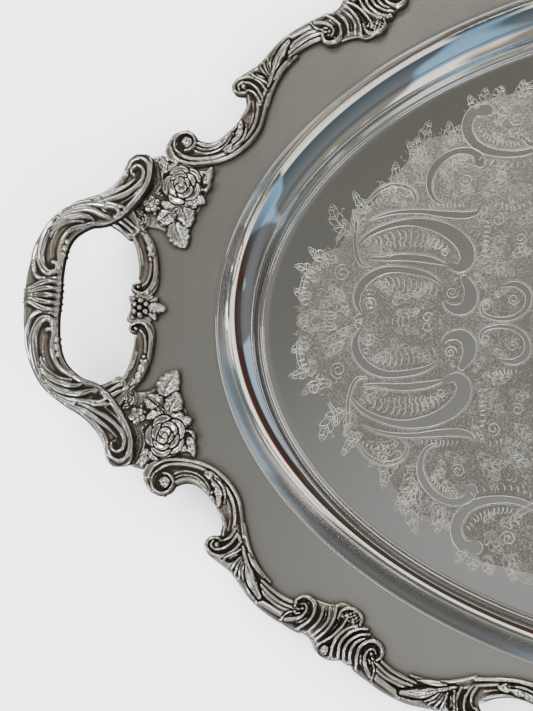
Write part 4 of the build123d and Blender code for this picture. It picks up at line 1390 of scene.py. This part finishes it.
def build_engraving():
    e = Engraving()
    rng = np.random.default_rng(3)
    bands = []
    for points, widths in RIBBONS:
        e.ribbon(points, widths)
        bands.append((smooth_path(points, 1.5), max(widths)))
        other = carried(points)
        if other[:, 0].max() < -2:
            e.ribbon(other, widths)
            bands.append((smooth_path(other, 1.5), max(widths)))
    for centre, r, start, turns in EYES:
        for c, sense, ok in ((centre, 1, True), (tuple(carried(centre)), -1, AXIS - centre[0] < -4)):
            if ok:
                first = start if sense > 0 else 180 - start
                e.cut(smooth_path(spiral(c, r, 0.7, first, sense * turns * 0.8), 1.3), 0.2, True)
    for base, tip, bend, width, lobes in LEAVES:
        e.leaf(base, tip, bend, width, lobes)
        if AXIS - base[0] < -6 and AXIS - tip[0] < -6:
            e.leaf(carried(base), carried(tip), -bend, width, lobes)
    for points, count, length, lean, curl in ROWS:
        e.row(points, count, length, lean, curl)
        other = carried(points)
        if other[:, 0].max() < -4:
            e.row(other, count, length, -lean, -curl)
    # more scrolls and leaves towards the middle of the long side, and the middle medallion
    for axis in (-210, -154):
        points, widths = RIBBONS[1]
        moved = carried(points, axis)
        e.ribbon(moved, widths)
        bands.append((smooth_path(moved, 1.5), 2.4))
        for base, tip, bend, width, lobes in LEAVES[18:23] + LEAVES[34:36]:
            e.leaf(carried(base, axis), carried(tip, axis), -bend, width, lobes)
    ring = np.radians(np.arange(90, 181, 7.5))
    for a, b in ((34, 26), (30, 22), (12, 9)):
        e.cut(np.column_stack([a * np.cos(ring), b * np.sin(ring)]), 0.26, True)
    for k in range(7):
        a = math.radians(97 + 13.5 * k)
        e.leaf((12 * math.cos(a), 9 * math.sin(a)), (28 * math.cos(a), 20.5 * math.sin(a)), 1, 3.4, 4)
        e.leaf((37 * math.cos(a), 29 * math.sin(a)), (52 * math.cos(a), 44 * math.sin(a)), 1.5, 4, 4)
    # fine punched and hatched ground between the ribbons
    spots = np.column_stack([rng.uniform(-237, -0.5, 3800), rng.uniform(0.3, 137, 3800)])
    spots = spots[within(spots[:, 0], spots[:, 1], HATCHED + HATCHED[:1])]
    clear = np.ones(len(spots), bool)
    for path, wide in bands:
        for at in path:
            clear &= np.hypot(spots[:, 0] - at[0], spots[:, 1] - at[1]) > wide + 0.7
    spots = spots[clear]
    x, y = spots.T
    flow = 40 * np.sin(x * 0.11 + 2 * np.sin(y * 0.07)) + 60 * np.sin(y * 0.09 + x * 0.05)
    for (x, y), turn in zip(spots, flow):
        e.sweep((x, y), turn + rng.uniform(-25, 25), rng.uniform(1.2, 2.8), rng.uniform(-120, 120),
                rng.uniform(0.08, 0.14))
    return e.cut_mesh(), e.slab_mesh()


def place_engraving():
    cuts, slabs = build_engraving()
    ground = ground_mesh()
    for end, sx in (("left", 1), ("right", -1)):
        for side, sy in (("back", 1), ("front", -1)):
            for kind, data, material in (("cuts", cuts, CUT), ("plain", slabs, PLATE),
                    ("ground", ground, GROUND)):
                points, faces = mirrored(*data, sx, sy)
                worn = {"haze": np.ones(len(points)),
                        "tarnish": np.full(len(points), 0.08)} if kind == "plain" else None
                obj = make_object(f"engraving_{kind}_{side}_{end}", points, faces, worn, 20)
                obj.visible_glossy = False                # the cove shows the plain floor
                dress(obj, material)


# ---------------------------------------------------------------- stage, light and camera

def make_stage():
    mat, nodes, _ = new_material("stage_paper")
    nodes["Principled BSDF"].inputs["Base Color"].default_value = (0.92, 0.92, 0.92, 1)
    nodes["Principled BSDF"].inputs["Roughness"].default_value = 0.9
    bpy.ops.mesh.primitive_plane_add(size=40)
    floor = bpy.context.object
    floor.name = "stage_floor"
    floor.location.z = -0.0002
    floor.data.materials.append(mat)
    floor.visible_glossy = False      # the silver shows the room and not this paper


# What the metal reflects, as colours against the sine of the height over the horizon.
OVERHEAD = [(0.84, (0.17, 0.17, 0.16)), (0.93, (0.155, 0.15, 0.132)), (0.965, (0.175, 0.175, 0.165)),
            (0.985, (0.29, 0.29, 0.285)), (1.0, (0.38, 0.38, 0.38))]
WINDOWS = [(0.0, (0.30, 0.29, 0.27)), (0.04, (0.06, 0.06, 0.07)), (0.10, (0.26, 0.50, 0.72)),
           (0.33, (0.34, 0.60, 0.82)),
           (0.345, (0.12, 0.14, 0.16)), (0.36, (0.30, 0.50, 0.72)), (0.385, (0.36, 0.57, 0.80)), (0.40,
                   (1.5, 1.42, 1.2)),
           (0.50, (1.7, 1.6, 1.35)), (0.515, (0.25, 0.40, 0.55)), (0.68, (0.26, 0.38, 0.50)), (0.70,
                   (2.5, 2.4, 2.2)),
           (0.77, (2.5, 2.4, 2.2)), (0.79, (0.2, 0.2, 0.2))] + OVERHEAD
ROOM = [(0.0, (0.10, 0.085, 0.07)), (0.012, (1.7, 1.65, 1.5)), (0.09, (1.8, 1.72, 1.55)),
        (0.105, (0.16, 0.03, 0.035)),
        (0.14, (0.10, 0.03, 0.025)), (0.16, (0.05, 0.042, 0.036)), (0.21, (0.06, 0.05, 0.042)), (0.23,
                (0.42, 0.60, 0.80)),
        (0.38, (0.50, 0.68, 0.86)), (0.40, (0.05, 0.045, 0.04)), (0.55, (0.12, 0.105, 0.085)), (0.68,
                (0.05, 0.045, 0.04)),
        (0.70, (2.5, 2.38, 2.15)), (0.77, (2.5, 2.38, 2.15)), (0.79, (0.08, 0.07, 0.06))] + OVERHEAD
CURTAIN = [(0.0, (0.2, 0.18, 0.16)), (0.012, (1.5, 1.45, 1.3)), (0.09, (1.6, 1.5, 1.35)),
           (0.105, (0.04, 0.035, 0.03)),
           (0.30, (0.16, 0.14, 0.12)), (0.48, (0.05, 0.045, 0.04)),
           (0.60, (0.30, 0.33, 0.36)), (0.72, (0.12, 0.12, 0.12))] + OVERHEAD


def sky():
    """A room for the metal to reflect: grey overhead, bright windows in front, dark furniture behind."""
    world = bpy.data.worlds.new("studio")
    bpy.context.scene.world = world
    world.use_nodes = True
    nodes, links = world.node_tree.nodes, world.node_tree.links
    coords = nodes.new("ShaderNodeTexCoord")
    split = nodes.new("ShaderNodeSeparateXYZ")
    links.new(coords.outputs["Generated"], split.inputs["Vector"])
    windows = ramp(nodes, links, split.outputs["Z"], WINDOWS)
    room = ramp(nodes, links, split.outputs["Z"], ROOM)
    curtain = ramp(nodes, links, split.outputs["Z"], CURTAIN)
    facing = math_node(nodes, links, "MULTIPLY_ADD", split.outputs["X"], 0.10)
    facing.node.inputs[2].default_value = 0.5
    behind = math_node(nodes, links, "MULTIPLY_ADD", split.outputs["Y"], 0.5)
    links.new(facing, behind.node.inputs[2])
    share = ramp(nodes, links, behind, [(0.38, 0.0), (0.56, 1.0)])
    mix = nodes.new("ShaderNodeMix")
    mix.data_type = "RGBA"
    links.new(share, mix.inputs["Factor"])
    links.new(windows, mix.inputs["A"])
    links.new(room, mix.inputs["B"])
    stretch = nodes.new("ShaderNodeMapping")
    stretch.inputs["Scale"].default_value = (1, 1, 0.35)
    noise = nodes.new("ShaderNodeTexNoise")
    noise.inputs["Scale"].default_value = 3.4
    noise.inputs["Detail"].default_value = 1.5
    links.new(coords.outputs["Generated"], stretch.inputs["Vector"])
    links.new(stretch.outputs["Vector"], noise.inputs["Vector"])
    hidden = ramp(nodes, links, noise.outputs["Fac"], [(0.53, 0.0), (0.57, 0.85)])
    last = nodes.new("ShaderNodeMix")
    last.data_type = "RGBA"
    links.new(hidden, last.inputs["Factor"])
    links.new(mix.outputs["Result"], last.inputs["A"])
    links.new(curtain, last.inputs["B"])
    background = nodes["Background"]
    links.new(last.outputs["Result"], background.inputs["Color"])
    background.inputs["Strength"].default_value = 1.0


def area(name, at, size, power, colour=(1, 1, 1), shiny=True, aim=(0, 0, 0)):
    light = bpy.data.lights.new(name, "AREA")
    light.shape = "RECTANGLE"
    light.size, light.size_y = size
    light.energy = power
    light.color = colour
    obj = bpy.data.objects.new(name, light)
    obj.location = at
    obj.rotation_euler = (Vector(aim) - Vector(at)).to_track_quat("-Z", "Y").to_euler()
    obj.visible_glossy = shiny
    bpy.context.collection.objects.link(obj)


def make_lights():
    """Three windows that the silver shows, and two wide soft lights that it doesn't."""
    area("window_blue", (0.5, -2.7, 1.9), (1.3, 0.8), 34, (0.82, 0.93, 1.0))
    area("window_warm", (-0.4, 2.3, 2.2), (1.8, 0.3), 18, (1.0, 0.95, 0.84))
    area("window_left", (-2.4, -0.9, 1.6), (0.9, 0.6), 16, (0.95, 0.97, 1.0))
    area("soft_fill_a", (0.8, -1.2, 2.6), (2.5, 2.5), 240, shiny=False, aim=(-0.1, 0, 0))
    area("soft_fill_b", (-1.2, 1.0, 2.6), (2.5, 2.5), 240, shiny=False, aim=(-0.1, 0, 0))


# The camera of a hand held over the tray's left half: place over the rim, and its small tilts.
CAMERA_AT = (-106.2, -134.1, 628.6)
CAMERA_TILTS = (-9.778, -12.337, -3.052)
CAMERA_FOCAL = 1300 / 711 * 36


def make_camera():
    rx, ry, rz = (Matrix.Rotation(math.radians(t), 3, axis) for t, axis in zip(CAMERA_TILTS, "XYZ"))
    turn = (rz @ rx @ ry).transposed()
    camera = bpy.data.cameras.new("camera")
    camera.lens = CAMERA_FOCAL
    camera.sensor_width = 36
    camera.clip_start = 0.01
    obj = bpy.data.objects.new("camera", camera)
    place_at = Vector((CAMERA_AT[0], CAMERA_AT[1], CAMERA_AT[2] + RIM_TOP)) * MM
    obj.matrix_world = Matrix.Translation(place_at) @ turn.to_4x4()
    bpy.context.collection.objects.link(obj)
    bpy.context.scene.camera = obj


make_camera()
make_stage()
sky()
make_lights()
border = build_border()
spray = build_spray()
rail = build_rail()
flower = build_flower()
place_border(border)
place_quarters("rose_spray", contoured(spray))
place_rail_and_flower(rail, flower)
place_grip(grip_mesh(build_grip_relief()), build_web())
place_body([border, spray, rail, flower])
place_engraving()
